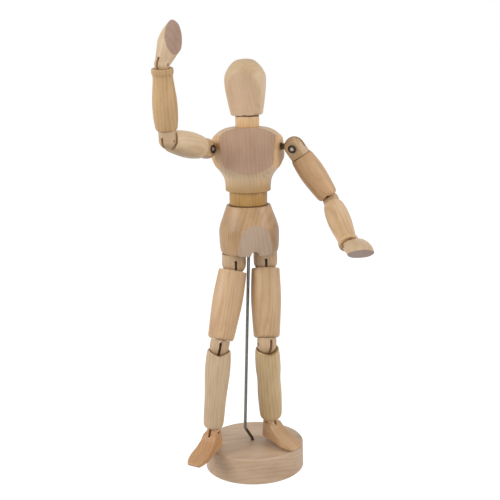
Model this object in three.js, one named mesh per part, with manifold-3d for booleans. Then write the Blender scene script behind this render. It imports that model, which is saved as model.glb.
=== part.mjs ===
import * as THREE from 'three';
import { mergeVertices } from 'three/addons/utils/BufferGeometryUtils.js';
import Module from 'manifold-3d';

// Jointed wooden drawing mannequin on a round stand, in millimetres, +Z up.
// The origin is the middle of the base's underside. The figure faces -Y, so its own right side is -X.

const wasm = await Module();
wasm.setup();

// Clearances
const touchGap = 0.3;
const pinGap = 0.25;
const cupGap = 0.45;
const plateGap = 0.35;

// Stand
const baseRadius = 38;
const baseHeight = 20;
const baseEdge = 1.2;
const rodRadius = 1.15;
const rodFootX = -1.5;
const rodSeatDepth = 14;
const rodKinkX = -7;
const rodKinkHeight = 10.5;
const rodTopX = -0.35;
const rodEntry = 15;
const rodHoleGap = 0.35;

// Heights of the trunk, from the table
const hipHeight = 163;
const pelvisBottom = 171;
const pelvisTop = 207;
const chestBottom = 217.8;
const chestTop = 264.5;
const headBottom = 273.3;
const headTop = 313.7;

// Pelvis
const pelvisX = -0.35;
const pelvisRimRadius = 16.4;
const pelvisWidestRadius = 22.4;
const pelvisFootRadius = 21;
const groinDepthLow = 17;
const groinDepthHigh = 20.5;
const groinHigh = 21;
const crotchRadius = 3;
const hipSpread = 12.2;

// Waist piece and its spring
const waistRadius = 14.1;
const waistDome = 14.6;
const waistSink = 4.6;
const waistSpringRadius = 2.4;
const waistSpringReach = 17;
const waistSpringSway = 4.6;
const trunkPinRadius = 0.9;

// Chest
const chestRimRadius = 16.8;
const chestWidestRadius = 28.2;
const chestShoulderRadius = 20.6;
const chestCrownRadius = 9.5;
const chestCutLow = 14.2;
const chestCutLowDepth = 20.5;
const chestCutHigh = 42.2;
const chestCutHighDepth = 12;
const flankAngle = 20;
const flankDistance = 23.4;
const shoulderHeight = 250.1;
const shoulderBoreRadius = 3;
const shoulderBoreDepth = 9.5;
const shoulderSpringRadius = 2.2;

// Neck piece and its spring
const neckRadius = 8.8;
const neckDome = 9.2;
const neckSink = 3.7;
const neckSpringRadius = 1.8;
const neckSpringReach = 12;
const neckSpringSway = 3.8;

// Head
const headRadius = 15.6;
const headFootRadius = 11.3;
const faceDepthLow = 8.7;
const faceDepthHigh = 13;
const faceHigh = 26.7;
const cheekDistance = 11;
const cheekFlare = 0.12;

// Shoulder hardware and block
const tongueThickness = 1.2;
const shoulderTongueLength = 10.2;
const shoulderTongueHalf = 2.2;
const hookWireRadius = 0.8;
const hookEyeRadius = 1.5;
const hookEyeHalf = 2.2;
const hookReach = 7.8;
const blockRadius = 7.5;
const blockLength = 8;
const blockCheek = 5.5;
const blockSpigotRadius = 3;
const blockSpigotLength = 10;
const rivetRadius = 1.1;
const rivetHeadRadius = 3.1;
const rivetHeadThickness = 0.7;

// Limb lengths, pin to pin
const upperArmLength = 48;
const forearmLength = 52;
const thighLength = 63;
const shinLength = 68.5;
const shinLowRadius = { right: 8.2, left: 9.2 };

// Balls of the joints, the depth of each cup's rim from its pin, and the rise of a grooved rim
const hipBall = 9;
const kneeBall = 7.3;
const ankleBall = 4.8;
const elbowBall = 6;
const wristBall = 5.2;
const hipRim = 5.7;
const kneeRim = 5.7;
const kneeRimSide = 3.1;
const ankleRim = 4;
const elbowRim = 5.4;
const elbowRimSide = 3.2;
const wristRim = 2.5;
const grooveAngle = 20;

// Dowels, tongues and pins of the limbs
const kneeShoulder = 4.8;
const elbowShoulder = 7;
const hipSpigotRadius = 4.5;
const kneeSpigotRadius = 4;
const elbowSpigotRadius = 3.2;
const spigotLength = 10;
const tongueSeat = 6;
const hipTongueHalf = 2.8;
const kneeTongueHalf = 2.6;
const elbowTongueHalf = 2.2;
const wristTongueHalf = 1.8;
const ankleTongueHalf = 1.9;
const ankleShankRadius = 2;
const ankleShankLength = 9;
const legPinRadius = 1.1;
const anklePinRadius = 0.8;
const armPinRadius = 0.8;

// Hand and foot
const handLength = 34;
const handRadius = 8.4;
const palmAngle = 21;
const palmTipReach = 3.6;
const ankleHeight = 12.8;
const heelBack = 6.5;
const toeReach = 30.5;
const heelHalf = 6;
const ballHalf = 7.5;
const ballReach = 20;
const toeHalf = 4.2;
const soleEdge = 1;

// Resting pose in degrees: turn about the limb, bend at the pin, cant of the limb on its tongue
const pelvisTurn = 14;
const chestLean = 0.5;
const headLean = -2.2;
const headTurn = -14;
const limbPose = {
  right: {
    swing: 0, forward: 38, raise: 102.4, elbowTurn: -86.6, elbowBend: -69.3,
    wristTurn: -177.8, wristBend: 38.3, palmTurn: -75.4,
    hip: [-4, -14.9, 14], knee: [-2, 17.2, -7.2], ankle: [-34.5, 12.2, -5.6],
  },
  left: {
    swing: 14, forward: 0, raise: 31.3, elbowTurn: 15.8, elbowBend: -58.7,
    wristTurn: -135.3, wristBend: 32.8, palmTurn: 8,
    hip: [-11, -18.8, 1.4], knee: [24, 28.1, -16.1], ankle: [17.7, -2.6, 10.2],
  },
};

const degrees = THREE.MathUtils.degToRad;

function material(color, roughness, metalness = 0) {
  return new THREE.MeshStandardMaterial({ color, roughness, metalness });
}

const wood = material(0xcdaa80, 0.5);
const paleWood = material(0xd2b391, 0.5);
const baseWood = material(0xc4a583, 0.55);
const steel = material(0x8b8b86, 0.35, 0.9);
const darkSteel = material(0x55504a, 0.4, 0.9);

// Solids: joins and cuts of closed geometries

function toSolid(geometry) {
  const bare = new THREE.BufferGeometry();
  bare.setAttribute('position', geometry.getAttribute('position'));
  bare.setIndex(geometry.getIndex());
  const merged = mergeVertices(bare, 1e-4);
  const index = merged.getIndex().array;
  const triangles = [];
  for (let i = 0; i < index.length; i += 3) {
    const [a, b, c] = [index[i], index[i + 1], index[i + 2]];
    if (a !== b && b !== c && c !== a) triangles.push(a, b, c);
  }
  const vertProperties = new Float32Array(merged.getAttribute('position').array);
  const mesh = new wasm.Mesh({ numProp: 3, vertProperties, triVerts: new Uint32Array(triangles) });
  return new wasm.Manifold(mesh);
}

function toGeometry(solid) {
  const mesh = solid.getMesh();
  const geometry = new THREE.BufferGeometry();
  geometry.setAttribute('position', new THREE.BufferAttribute(mesh.vertProperties, 3));
  geometry.setIndex(new THREE.BufferAttribute(mesh.triVerts, 1));
  return geometry;
}

function join(first, ...others) {
  return toGeometry(others.reduce((whole, piece) => whole.add(toSolid(piece)), toSolid(first)));
}

function cut(piece, ...tools) {
  return toGeometry(tools.reduce((rest, tool) => rest.subtract(toSolid(tool)), toSolid(piece)));
}

function common(piece, other) {
  return toGeometry(toSolid(piece).intersect(toSolid(other)));
}

// Basic shapes

function turned(profile, sides) {
  const points = profile.map(([radius, height]) => new THREE.Vector2(radius, height));
  return new THREE.LatheGeometry(points, sides).rotateX(Math.PI / 2);
}

// Points [radius, height] on a circle about the axis point at height centre, by elevation in degrees.
function arc(radius, centre, from, to, steps) {
  return Array.from({ length: steps + 1 }, (_, i) => {
    const angle = degrees(from + ((to - from) * i) / steps);
    const across = radius * Math.cos(angle);
    return [across < 1e-9 ? 0 : across, centre + radius * Math.sin(angle)];
  });
}

function cylinder(radius, bottom, top, sides = 12) {
  return turned([[0, bottom], [radius, bottom], [radius, top], [0, top]], sides);
}

function ball(radius, centre = 0, sides = 24) {
  return turned(arc(radius, centre, -90, 90, sides / 2), sides);
}

function alongX(geometry) {
  return geometry.rotateY(Math.PI / 2);
}

function alongY(geometry) {
  return geometry.rotateX(Math.PI / 2);
}

function box([x0, x1], [y0, y1], [z0, z1]) {
  const centre = [(x0 + x1) / 2, (y0 + y1) / 2, (z0 + z1) / 2];
  return new THREE.BoxGeometry(x1 - x0, y1 - y0, z1 - z0).translate(...centre);
}

// Everything beyond the plane through a point, on the side that its normal points to.
function beyond(point, normal) {
  const reach = 90;
  const turn = new THREE.Quaternion();
  turn.setFromUnitVectors(new THREE.Vector3(0, 0, 1), new THREE.Vector3(...normal).normalize());
  return new THREE.BoxGeometry(reach, reach, reach)
    .translate(0, 0, reach / 2)
    .applyQuaternion(turn)
    .translate(...point);
}

// An outline in X and Z, drawn out along Y to the same depth on both sides.
function prismAcross(shape, halfDepth, curveSegments = 6) {
  return new THREE.ExtrudeGeometry(shape, { depth: 2 * halfDepth, bevelEnabled: false, curveSegments })
    .rotateX(Math.PI / 2)
    .translate(0, halfDepth, 0);
}

// A round wire through points, with a ball at each bend.
function wire(points, radius, sides = 10) {
  const up = new THREE.Vector3(0, 0, 1);
  const pieces = points.slice(1).map((end, i) => {
    const step = end.clone().sub(points[i]);
    const turn = new THREE.Quaternion().setFromUnitVectors(up, step.clone().normalize());
    return cylinder(radius, 0, step.length(), sides).applyQuaternion(turn).translate(...points[i].toArray());
  });
  const bends = points.slice(1, -1).map((point) => ball(radius, 0, sides).translate(...point.toArray()));
  return join(...pieces, ...bends);
}

// Parts that the joints share

// A flat steel tongue with a round head on its pin, hanging down -Z, thin along X.
function tongue(half, length, pinRadius) {
  const shape = new THREE.Shape();
  shape.moveTo(-half, -length);
  shape.lineTo(half, -length);
  shape.lineTo(half, 0);
  shape.absarc(0, 0, half, 0, Math.PI);
  shape.closePath();
  const eye = new THREE.Path();
  eye.absarc(0, 0, pinRadius + pinGap, 0, 2 * Math.PI);
  shape.holes.push(eye);
  return prismAcross(shape, tongueThickness / 2).rotateZ(Math.PI / 2);
}

// The room that a tongue takes in a slot from its pin down to the seat's end.
function tongueSeatRoom(half, from, to) {
  const across = tongueThickness / 2 + touchGap;
  return box([-across, across], [-half - touchGap, half + touchGap], [-to - touchGap, -from]);
}

function slotAndPinHole(radius, tongueHalf, pinRadius) {
  const across = tongueThickness / 2 + plateGap;
  const slot = box([-across, across], [-radius - 1, radius + 1], [-radius - 1, tongueHalf + 0.8]);
  const hole = alongX(cylinder(pinRadius + pinGap, -radius - 1, radius + 1));
  return [slot, hole];
}

// A dowel that ends in a slotted ball at its pin, with a spigot above its shoulder.
function dowel(radius, shoulder, spigotRadius, tongueHalf, pinRadius) {
  const profile = [
    ...arc(radius, 0, -90, 0, 6),
    [radius, shoulder],
    [spigotRadius, shoulder],
    [spigotRadius, shoulder + spigotLength],
    [0, shoulder + spigotLength],
  ];
  return cut(turned(profile, 24), ...slotAndPinHole(radius, tongueHalf, pinRadius));
}

function jointPin(ballRadius, pinRadius) {
  const half = ballRadius - 0.4;
  return alongX(cylinder(pinRadius, -half, half));
}

// The space above a rim that is grooved along Y: rim deep at the middle, rising to both sides.
function groove(rim) {
  const reach = 14;
  const rise = reach * Math.tan(degrees(grooveAngle));
  const shape = new THREE.Shape();
  shape.moveTo(0, -rim);
  shape.lineTo(reach, rise - rim);
  shape.lineTo(reach, reach);
  shape.lineTo(-reach, reach);
  shape.lineTo(-reach, rise - rim);
  shape.closePath();
  return prismAcross(shape, reach);
}

// Stand

function baseDisc() {
  const corner = arc(baseEdge, baseHeight - baseEdge, 0, 90, 3);
  const edge = corner.map(([across, height]) => [baseRadius - baseEdge + across, height]);
  const disc = turned([[0, 0], [baseRadius - 0.5, 0], [baseRadius, 0.5], ...edge, [0, baseHeight]], 48);
  const hole = cylinder(rodRadius + touchGap, baseHeight - rodSeatDepth, baseHeight + 1);
  return cut(disc, hole.translate(rodFootX, 0, 0));
}

const rodKink = new THREE.Vector3(rodKinkX, 0, baseHeight + rodKinkHeight);
const rodEnd = new THREE.Vector3(rodTopX, 0, pelvisBottom + rodEntry);

function supportRod() {
  const foot = new THREE.Vector3(rodFootX, 0, baseHeight - rodSeatDepth + touchGap);
  const elbow = new THREE.Vector3(rodFootX, 0, baseHeight + 1.5);
  return wire([foot, elbow, rodKink, rodEnd], rodRadius);
}

// Trunk

const waistLow = pelvisTop + waistSink;
const waistHigh = chestBottom - waistSink;
const neckLow = chestTop + neckSink;
const neckHigh = headBottom - neckSink;
const socket = (dome) => dome + cupGap;

// In the pelvis's own frame, with the hip pins at height 0.
function pelvis() {
  const low = pelvisBottom - hipHeight;
  const high = pelvisTop - hipHeight;
  const wide = pelvisWidestRadius;
  const profile = [
    [0, low],
    [pelvisFootRadius - 1.2, low],
    [pelvisFootRadius, low + 0.6],
    [wide - 0.8, low + 2.2],
    [wide - 0.3, low + 5.5],
    [wide - 0.1, low + 10],
    [wide, low + 15],
    [wide - 0.2, low + 18.5],
    [wide - 1.2, low + 22.5],
    [wide - 2.8, low + 27],
    [pelvisRimRadius + 1.2, low + 32.5],
    [pelvisRimRadius, high],
    [0, high],
  ];
  const dome = ball(socket(waistDome), high + waistSink, 28);
  const pocketRadius = waistSpringRadius + waistSpringSway + touchGap;
  const pocketBottom = high + waistSink - waistSpringReach - 2 * trunkPinRadius - 2 * touchGap - 0.8;
  const pocket = cylinder(pocketRadius, pocketBottom, high, 16);
  const groin = beyond([0, -groinDepthLow, low], [0, -groinHigh, groinDepthLow - groinDepthHigh]);
  const crotch = alongY(cylinder(crotchRadius, -30, 30, 16)).translate(0, 0, low + 0.4);
  const bores = [-1, 1].map((side) => (
    cylinder(hipSpigotRadius + touchGap, low - 1, low + spigotLength + touchGap, 16)
      .translate(side * hipSpread, 0, 0)
  ));
  const pinHole = alongY(cylinder(trunkPinRadius + pinGap, -30, 12.5)).translate(0, 0, pelvisPinHeight());
  return cut(turned(profile, 36), dome, pocket, groin, crotch, ...bores, pinHole, rodHole());
}

function pelvisPinHeight() {
  return pelvisTop - hipHeight + waistSink - waistSpringReach - trunkPinRadius - touchGap;
}

function trunkPin(back, front) {
  return alongY(cylinder(trunkPinRadius, -back, front));
}

// The rod's hole in the pelvis, blind above the rod's end.
function rodHole() {
  const run = rodEnd.clone().sub(rodKink).normalize();
  const turn = new THREE.Quaternion().setFromUnitVectors(new THREE.Vector3(0, 0, 1), run);
  return cylinder(rodRadius + rodHoleGap, -30, 1)
    .applyQuaternion(turn)
    .translate(rodEnd.x - pelvisX, rodEnd.y, rodEnd.z - hipHeight)
    .rotateZ(-degrees(pelvisTurn));
}

// Barrel with domed ends and a bore, about heights measured from its lower dome's centre.
function barrel(radius, dome, height, bore, sides) {
  const edge = THREE.MathUtils.radToDeg(Math.acos(radius / dome));
  const mouth = THREE.MathUtils.radToDeg(Math.acos(bore / dome));
  return turned([
    ...arc(dome, 0, -mouth, -edge, 5),
    ...arc(dome, height, edge, mouth, 5),
    [bore, -dome * Math.sin(degrees(mouth))],
  ], sides);
}

function chest() {
  const low = chestBottom - waistLow;
  const high = chestTop - waistLow;
  const wide = chestWidestRadius;
  const profile = [
    [0, low],
    [chestRimRadius, low],
    [chestRimRadius + 0.1, low + 4.2],
    [chestRimRadius + 0.8, low + 8.7],
    [chestRimRadius + 2.2, low + 11.8],
    [wide - 7.2, low + 14.7],
    [wide - 4.4, low + 18],
    [wide - 2.6, low + 20.8],
    [wide - 0.6, low + 23.4],
    [wide, low + 25.7],
    [wide - 0.2, low + 28.7],
    [wide - 0.9, low + 33.2],
    [wide - 1.7, low + 37.7],
    [wide - 4.6, high - 5.5],
    [chestShoulderRadius, high - 2.9],
    [chestShoulderRadius - 3.7, high - 1.1],
    [chestCrownRadius + 3, high - 0.2],
    [chestCrownRadius, high],
    [0, high],
  ];
  const slope = [chestCutHigh - chestCutLow, chestCutLowDepth - chestCutHighDepth];
  const front = beyond([0, -chestCutLowDepth, low + chestCutLow], [0, -slope[0], slope[1]]);
  const back = beyond([0, chestCutLowDepth, low + chestCutLow], [0, slope[0], slope[1]]);
  const flanks = [-1, 1].map((side) => beyond(flankPoint(side, flankDistance), flankNormal(side)));
  const shoulder = shoulderHeight - waistLow;
  const bores = [-1, 1].map((side) => (
    alongX(cylinder(shoulderBoreRadius, -shoulderBoreDepth, 3, 14))
      .rotateZ(degrees(side > 0 ? -flankAngle : 180 + flankAngle))
      .translate(...flankPoint(side, flankDistance, -0.99).slice(0, 2), shoulder)
  ));
  const springBore = alongX(cylinder(shoulderSpringRadius + 0.9, -18, 18, 14));
  const waistPocket = waistSpringRadius + waistSpringSway + touchGap;
  const waistTop = waistHigh - waistLow + waistSpringReach;
  const neckPocket = neckSpringRadius + neckSpringSway + touchGap;
  return cut(
    turned(profile, 36), front, back, ...flanks, ...bores,
    springBore.translate(0, shoulderSpringY, shoulder),
    ball(socket(waistDome), waistHigh - waistLow, 28),
    cylinder(waistPocket, low + 6, waistTop + 2 * trunkPinRadius + 2 * touchGap + 0.8, 16),
    alongY(cylinder(trunkPinRadius + pinGap, -30, 12.5)).translate(0, 0, waistTop + trunkPinRadius + touchGap),
    ball(socket(neckDome), neckLow - waistLow),
    cylinder(neckPocket, shoulder + 1, high, 16),
  );
}

const shoulderSpringY = 1.7;

function flankNormal(side) {
  return [side * Math.cos(degrees(flankAngle)), -Math.sin(degrees(flankAngle)), 0];
}

// A point on a shoulder's flat cut, at a stated Y.
function flankPoint(side, distance, y = 0) {
  const [nx, ny] = flankNormal(side);
  return [(distance - ny * y) / nx, y, 0];
}

function head() {
  const low = 0;
  const high = headTop - headBottom;
  const profile = [
    [0, low],
    [headFootRadius, low],
    [headFootRadius + 0.9, low + 1.7],
    [headRadius - 2.3, low + 6.7],
    [headRadius - 1, low + 12.7],
    [headRadius, low + 18.7],
    [headRadius, low + 24.7],
    [headRadius - 0.8, low + 28.7],
    [headRadius - 2.6, low + 32.7],
    [headRadius - 5.3, high - 3.7],
    [headRadius - 8.1, high - 1.2],
    [headRadius - 11.6, high - 0.3],
    [0, high],
  ];
  const face = beyond([0, -faceDepthLow, low], [0, -faceHigh, faceDepthLow - faceDepthHigh]);
  const cheeks = [-1, 1].map((side) => beyond([side * cheekDistance, 0, low], [side, 0, -cheekFlare]));
  const pocket = neckSpringRadius + neckSpringSway + touchGap;
  const top = neckSpringReach - neckSink;
  return cut(
    turned(profile, 32), face, ...cheeks,
    ball(socket(neckDome), -neckSink),
    cylinder(pocket, low, top + 2 * trunkPinRadius + 2 * touchGap + 0.8, 16),
    alongY(cylinder(trunkPinRadius + pinGap, -30, 6)).translate(0, 0, top + trunkPinRadius + touchGap),
  );
}

// Shoulder, in a frame whose X runs out along the tongue

function shoulderHook() {
  const eye = cylinder(hookEyeRadius, -hookEyeHalf, hookEyeHalf);
  return join(eye, alongX(cylinder(hookWireRadius, -hookReach, 0)));
}

function shoulderTongue() {
  const inner = hookEyeRadius + plateGap;
  const bar = tongue(shoulderTongueHalf, shoulderTongueLength - inner, rivetRadius);
  return bar.rotateZ(Math.PI / 2).rotateY(Math.PI / 2).translate(shoulderTongueLength, 0, 0);
}

function shoulderBlock() {
  const profile = [
    [0, -blockLength - blockSpigotLength],
    [blockSpigotRadius, -blockLength - blockSpigotLength],
    [blockSpigotRadius, -blockLength],
    [blockRadius, -blockLength],
    ...arc(blockRadius, 0, 0, 90, 6),
  ];
  const reach = 12;
  const half = tongueThickness / 2 + plateGap;
  const slot = box([-reach, reach], [-half, half], [-shoulderTongueHalf - 1.4, reach]);
  const front = box([-reach, reach], [-reach, -blockCheek], [-blockLength - 1, reach]);
  const back = box([-reach, reach], [blockCheek, reach], [-blockLength - 1, reach]);
  const hole = alongY(cylinder(rivetRadius + pinGap, -reach, reach));
  return cut(turned(profile, 24), slot, front, back, hole);
}

function rivet() {
  const inner = blockCheek + touchGap;
  const outer = inner + rivetHeadThickness;
  return alongY(turned([
    [0, -outer],
    [rivetHeadRadius - 0.3, -outer],
    [rivetHeadRadius, -inner],
    [rivetRadius, -inner],
    [rivetRadius, inner],
    [rivetHeadRadius, inner],
    [rivetHeadRadius - 0.3, outer],
    [0, outer],
  ], 16));
}

// Arm, hanging down -Z from the shoulder's rivet, the elbow's pin or the wrist's pin

function upperArm() {
  const top = -blockLength - touchGap;
  const elbow = -upperArmLength;
  const profile = [
    [0, elbow + elbowRimSide],
    [6.9, elbow + elbowRimSide],
    [7.8, elbow + 5.5],
    [8.6, elbow + 12],
    [9.3, elbow + 20],
    [9.4, elbow + 28],
    [8.6, top - 3.5],
    [blockRadius + 0.4, top],
    [0, top],
  ];
  const length = elbowBall + cupGap + tongueSeat;
  return cut(
    turned(profile, 24),
    cylinder(blockSpigotRadius + touchGap, top - blockSpigotLength, top + 1, 14),
    ball(elbowBall + cupGap, elbow),
    groove(elbowRim).rotateX(Math.PI).translate(0, 0, elbow),
    tongueSeatRoom(elbowTongueHalf, elbowRim, length).rotateX(Math.PI).translate(0, 0, elbow),
  );
}

function forearm() {
  const top = -elbowShoulder - touchGap;
  const wrist = -forearmLength;
  const rim = wrist + wristRim;
  const profile = [
    [0, rim],
    [7, rim],
    [7.5, rim + 0.8],
    [7.5, rim + 3.4],
    [7.1, rim + 4.3],
    [6.9, rim + 6.6],
    [7.4, rim + 12],
    [8.3, rim + 20],
    [8.6, rim + 27],
    [8.4, rim + 34],
    [7.6, top - 1.6],
    [6.9, top],
    [0, top],
  ];
  const length = wristBall + cupGap + tongueSeat;
  return cut(
    turned(profile, 24),
    cylinder(elbowSpigotRadius + touchGap, top - spigotLength, top + 1, 14),
    ball(wristBall + cupGap, wrist),
    tongueSeatRoom(wristTongueHalf, wristRim, length).rotateX(Math.PI).translate(0, 0, wrist),
  );
}

function hand(palmTurn) {
  const profile = [
    [0, -handLength],
    [3.2, -handLength + 0.9],
    [5.2, -handLength + 3.3],
    [6.8, -handLength + 7.5],
    [7.9, -handLength + 12.5],
    [handRadius, -handLength + 17.5],
    [handRadius - 0.3, -14],
    [handRadius - 1.3, -9.5],
    [wristBall + 0.9, -5],
    [wristBall + 0.2, -2],
    ...arc(wristBall, 0, 0, 90, 6),
  ];
  const facing = [0, -Math.cos(degrees(palmAngle)), -Math.sin(degrees(palmAngle))];
  const palm = beyond([0, palmTipReach, -handLength], facing).rotateZ(degrees(palmTurn));
  return cut(turned(profile, 24), palm, ...slotAndPinHole(wristBall, wristTongueHalf, armPinRadius)
    .map((tool) => tool.rotateX(Math.PI)));
}

// Leg, hanging down -Z from the hip's pin or the knee's pin

function thigh(cant) {
  const low = -thighLength + kneeShoulder + touchGap;
  const profile = [
    [0, low],
    [8.9, low],
    [9.8, low + 1.6],
    [10.2, low + 7],
    [10.8, low + 17],
    [11.3, low + 27],
    [11.3, low + 35],
    [11, low + 43],
    [10.6, -hipRim - 1],
    [9.8, -hipRim],
    [0, -hipRim],
  ];
  const length = hipBall + cupGap + tongueSeat;
  return cut(
    turned(profile, 28),
    cylinder(kneeSpigotRadius + touchGap, low - 1, low + spigotLength + touchGap, 14),
    ball(hipBall + cupGap),
    tongueSeatRoom(hipTongueHalf, hipRim, length).rotateY(-degrees(cant)),
  );
}

function shin(cant, lowRadius) {
  const ankle = -shinLength;
  const low = ankle + ankleRim;
  const profile = [
    [0, low],
    [lowRadius - 2.8, low],
    [lowRadius - 1.5, low + 0.8],
    [lowRadius - 0.6, low + 3.6],
    [lowRadius - 0.3, low + 9],
    [lowRadius, low + 22],
    [8.9, low + 34],
    [9.5, low + 44],
    [9.4, low + 54],
    [8.9, -kneeRimSide - 1],
    [8.4, -kneeRimSide],
    [0, -kneeRimSide],
  ];
  const length = kneeBall + cupGap + tongueSeat;
  return cut(
    turned(profile, 28),
    ball(kneeBall + cupGap),
    groove(kneeRim),
    tongueSeatRoom(kneeTongueHalf, kneeRim, length).rotateY(-degrees(cant)),
    ball(ankleBall + cupGap, ankle),
    cylinder(ankleShankRadius + touchGap, ankle, ankle + ankleBall + cupGap + ankleShankLength + touchGap),
  );
}

// The plate hangs on the ankle's pin below, and its round shank turns in the shin.
function ankleTongue() {
  const shankStart = ankleBall + cupGap;
  const plate = tongue(ankleTongueHalf, shankStart + 1, anklePinRadius).rotateX(Math.PI);
  return join(plate, cylinder(ankleShankRadius, shankStart, shankStart + ankleShankLength));
}

function foot(cant) {
  const plan = new THREE.Shape();
  plan.moveTo(-heelHalf, heelBack - heelHalf);
  plan.absarc(0, heelBack - heelHalf, heelHalf, Math.PI, 0, true);
  plan.quadraticCurveTo(heelHalf - 0.6, -7, ballHalf, -ballReach);
  plan.quadraticCurveTo(ballHalf - 0.7, -toeReach + 1.5, toeHalf, -toeReach);
  plan.lineTo(-toeHalf, -toeReach);
  plan.quadraticCurveTo(-ballHalf + 0.7, -toeReach + 1.5, -ballHalf, -ballReach);
  plan.quadraticCurveTo(-heelHalf + 0.6, -7, -heelHalf, heelBack - heelHalf);
  const footprint = new THREE.ExtrudeGeometry(plan, { depth: 20, bevelEnabled: false, curveSegments: 6 })
    .translate(0, 0, -ankleHeight);
  const side = new THREE.Shape();
  side.moveTo(heelBack - soleEdge, -ankleHeight);
  side.lineTo(heelBack, -ankleHeight + soleEdge);
  side.lineTo(heelBack, -6.4);
  side.lineTo(ankleBall, -1.5);
  side.lineTo(-ankleBall, -1.5);
  side.quadraticCurveTo(-12, -6, -ballReach, -8.2);
  side.quadraticCurveTo(-toeReach + 1, -9.8, -toeReach, -11);
  side.lineTo(-toeReach + soleEdge, -ankleHeight);
  side.closePath();
  const sideways = prismAcross(side, 12, 5).rotateZ(Math.PI / 2);
  const wedge = common(footprint, sideways);
  const neck = turned([[0, -8], [ankleBall, -8], ...arc(ankleBall, 0, 0, 90, 6)], 20);
  const whole = join(wedge, neck).rotateY(degrees(cant));
  return cut(whole, ...slotAndPinHole(ankleBall, ankleTongueHalf, anklePinRadius)
    .map((tool) => tool.rotateX(Math.PI)));
}

// Assembly

function part(name, geometry, look, parent) {
  const mesh = new THREE.Mesh(geometry, look);
  mesh.name = name;
  parent.add(mesh);
  return mesh;
}

function frame(name, parent, position, rotation = [0, 0, 0], order = 'ZXY') {
  const group = new THREE.Group();
  group.name = name;
  group.position.set(...position);
  const [x, y, z] = rotation.map(degrees);
  group.rotation.set(x, y, z, order);
  parent.add(group);
  return group;
}

function addArm(side, sign, chestFrame) {
  const pose = limbPose[side];
  const [x, y] = flankPoint(sign, flankDistance, -0.99);
  const socketFrame = frame(`${side}_shoulder_socket`, chestFrame, [x, y, shoulderHeight - waistLow],
    [0, 0, -sign * flankAngle]);
  const swing = frame(`${side}_arm_swing`, socketFrame, [0, 0, 0], [pose.swing, 0, 0]);
  part(`${side}_shoulder_hook`, mirrored(shoulderHook(), sign), steel, swing);
  const forward = frame(`${side}_arm_forward`, swing, [0, 0, 0], [0, 0, -sign * pose.forward]);
  part(`${side}_shoulder_tongue`, mirrored(shoulderTongue(), sign), steel, forward);
  const raise = frame(`${side}_arm_raise`, forward, [sign * shoulderTongueLength, 0, 0], [0, -sign * pose.raise, 0]);
  part(`${side}_shoulder_block`, shoulderBlock(), wood, raise);
  part(`${side}_shoulder_rivet`, rivet(), darkSteel, raise);
  const arm = frame(`${side}_upper_arm_twist`, raise, [0, 0, 0], [0, 0, pose.elbowTurn]);
  part(`${side}_upper_arm`, upperArm(), wood, arm);
  const elbowPlate = tongue(elbowTongueHalf, elbowBall + cupGap + tongueSeat, armPinRadius);
  part(`${side}_elbow_tongue`, elbowPlate.rotateX(Math.PI).translate(0, 0, -upperArmLength), steel, arm);
  const elbow = frame(`${side}_elbow_bend`, arm, [0, 0, -upperArmLength], [pose.elbowBend, 0, 0]);
  const elbowStub = dowel(elbowBall, elbowShoulder, elbowSpigotRadius, elbowTongueHalf, armPinRadius);
  part(`${side}_elbow_dowel`, elbowStub.rotateX(Math.PI), wood, elbow);
  part(`${side}_elbow_pin`, jointPin(elbowBall, armPinRadius), darkSteel, elbow);
  const lower = frame(`${side}_forearm_twist`, elbow, [0, 0, 0], [0, 0, pose.wristTurn]);
  part(`${side}_forearm`, forearm(), wood, lower);
  const wristPlate = tongue(wristTongueHalf, wristBall + cupGap + tongueSeat, armPinRadius);
  part(`${side}_wrist_tongue`, wristPlate.rotateX(Math.PI).translate(0, 0, -forearmLength), steel, lower);
  const wrist = frame(`${side}_wrist_bend`, lower, [0, 0, -forearmLength], [pose.wristBend, 0, 0]);
  part(`${side}_hand`, hand(pose.palmTurn), paleWood, wrist);
  part(`${side}_wrist_pin`, jointPin(wristBall, armPinRadius), darkSteel, wrist);
}

function mirrored(geometry, sign) {
  return sign > 0 ? geometry : geometry.rotateZ(Math.PI);
}

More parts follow.
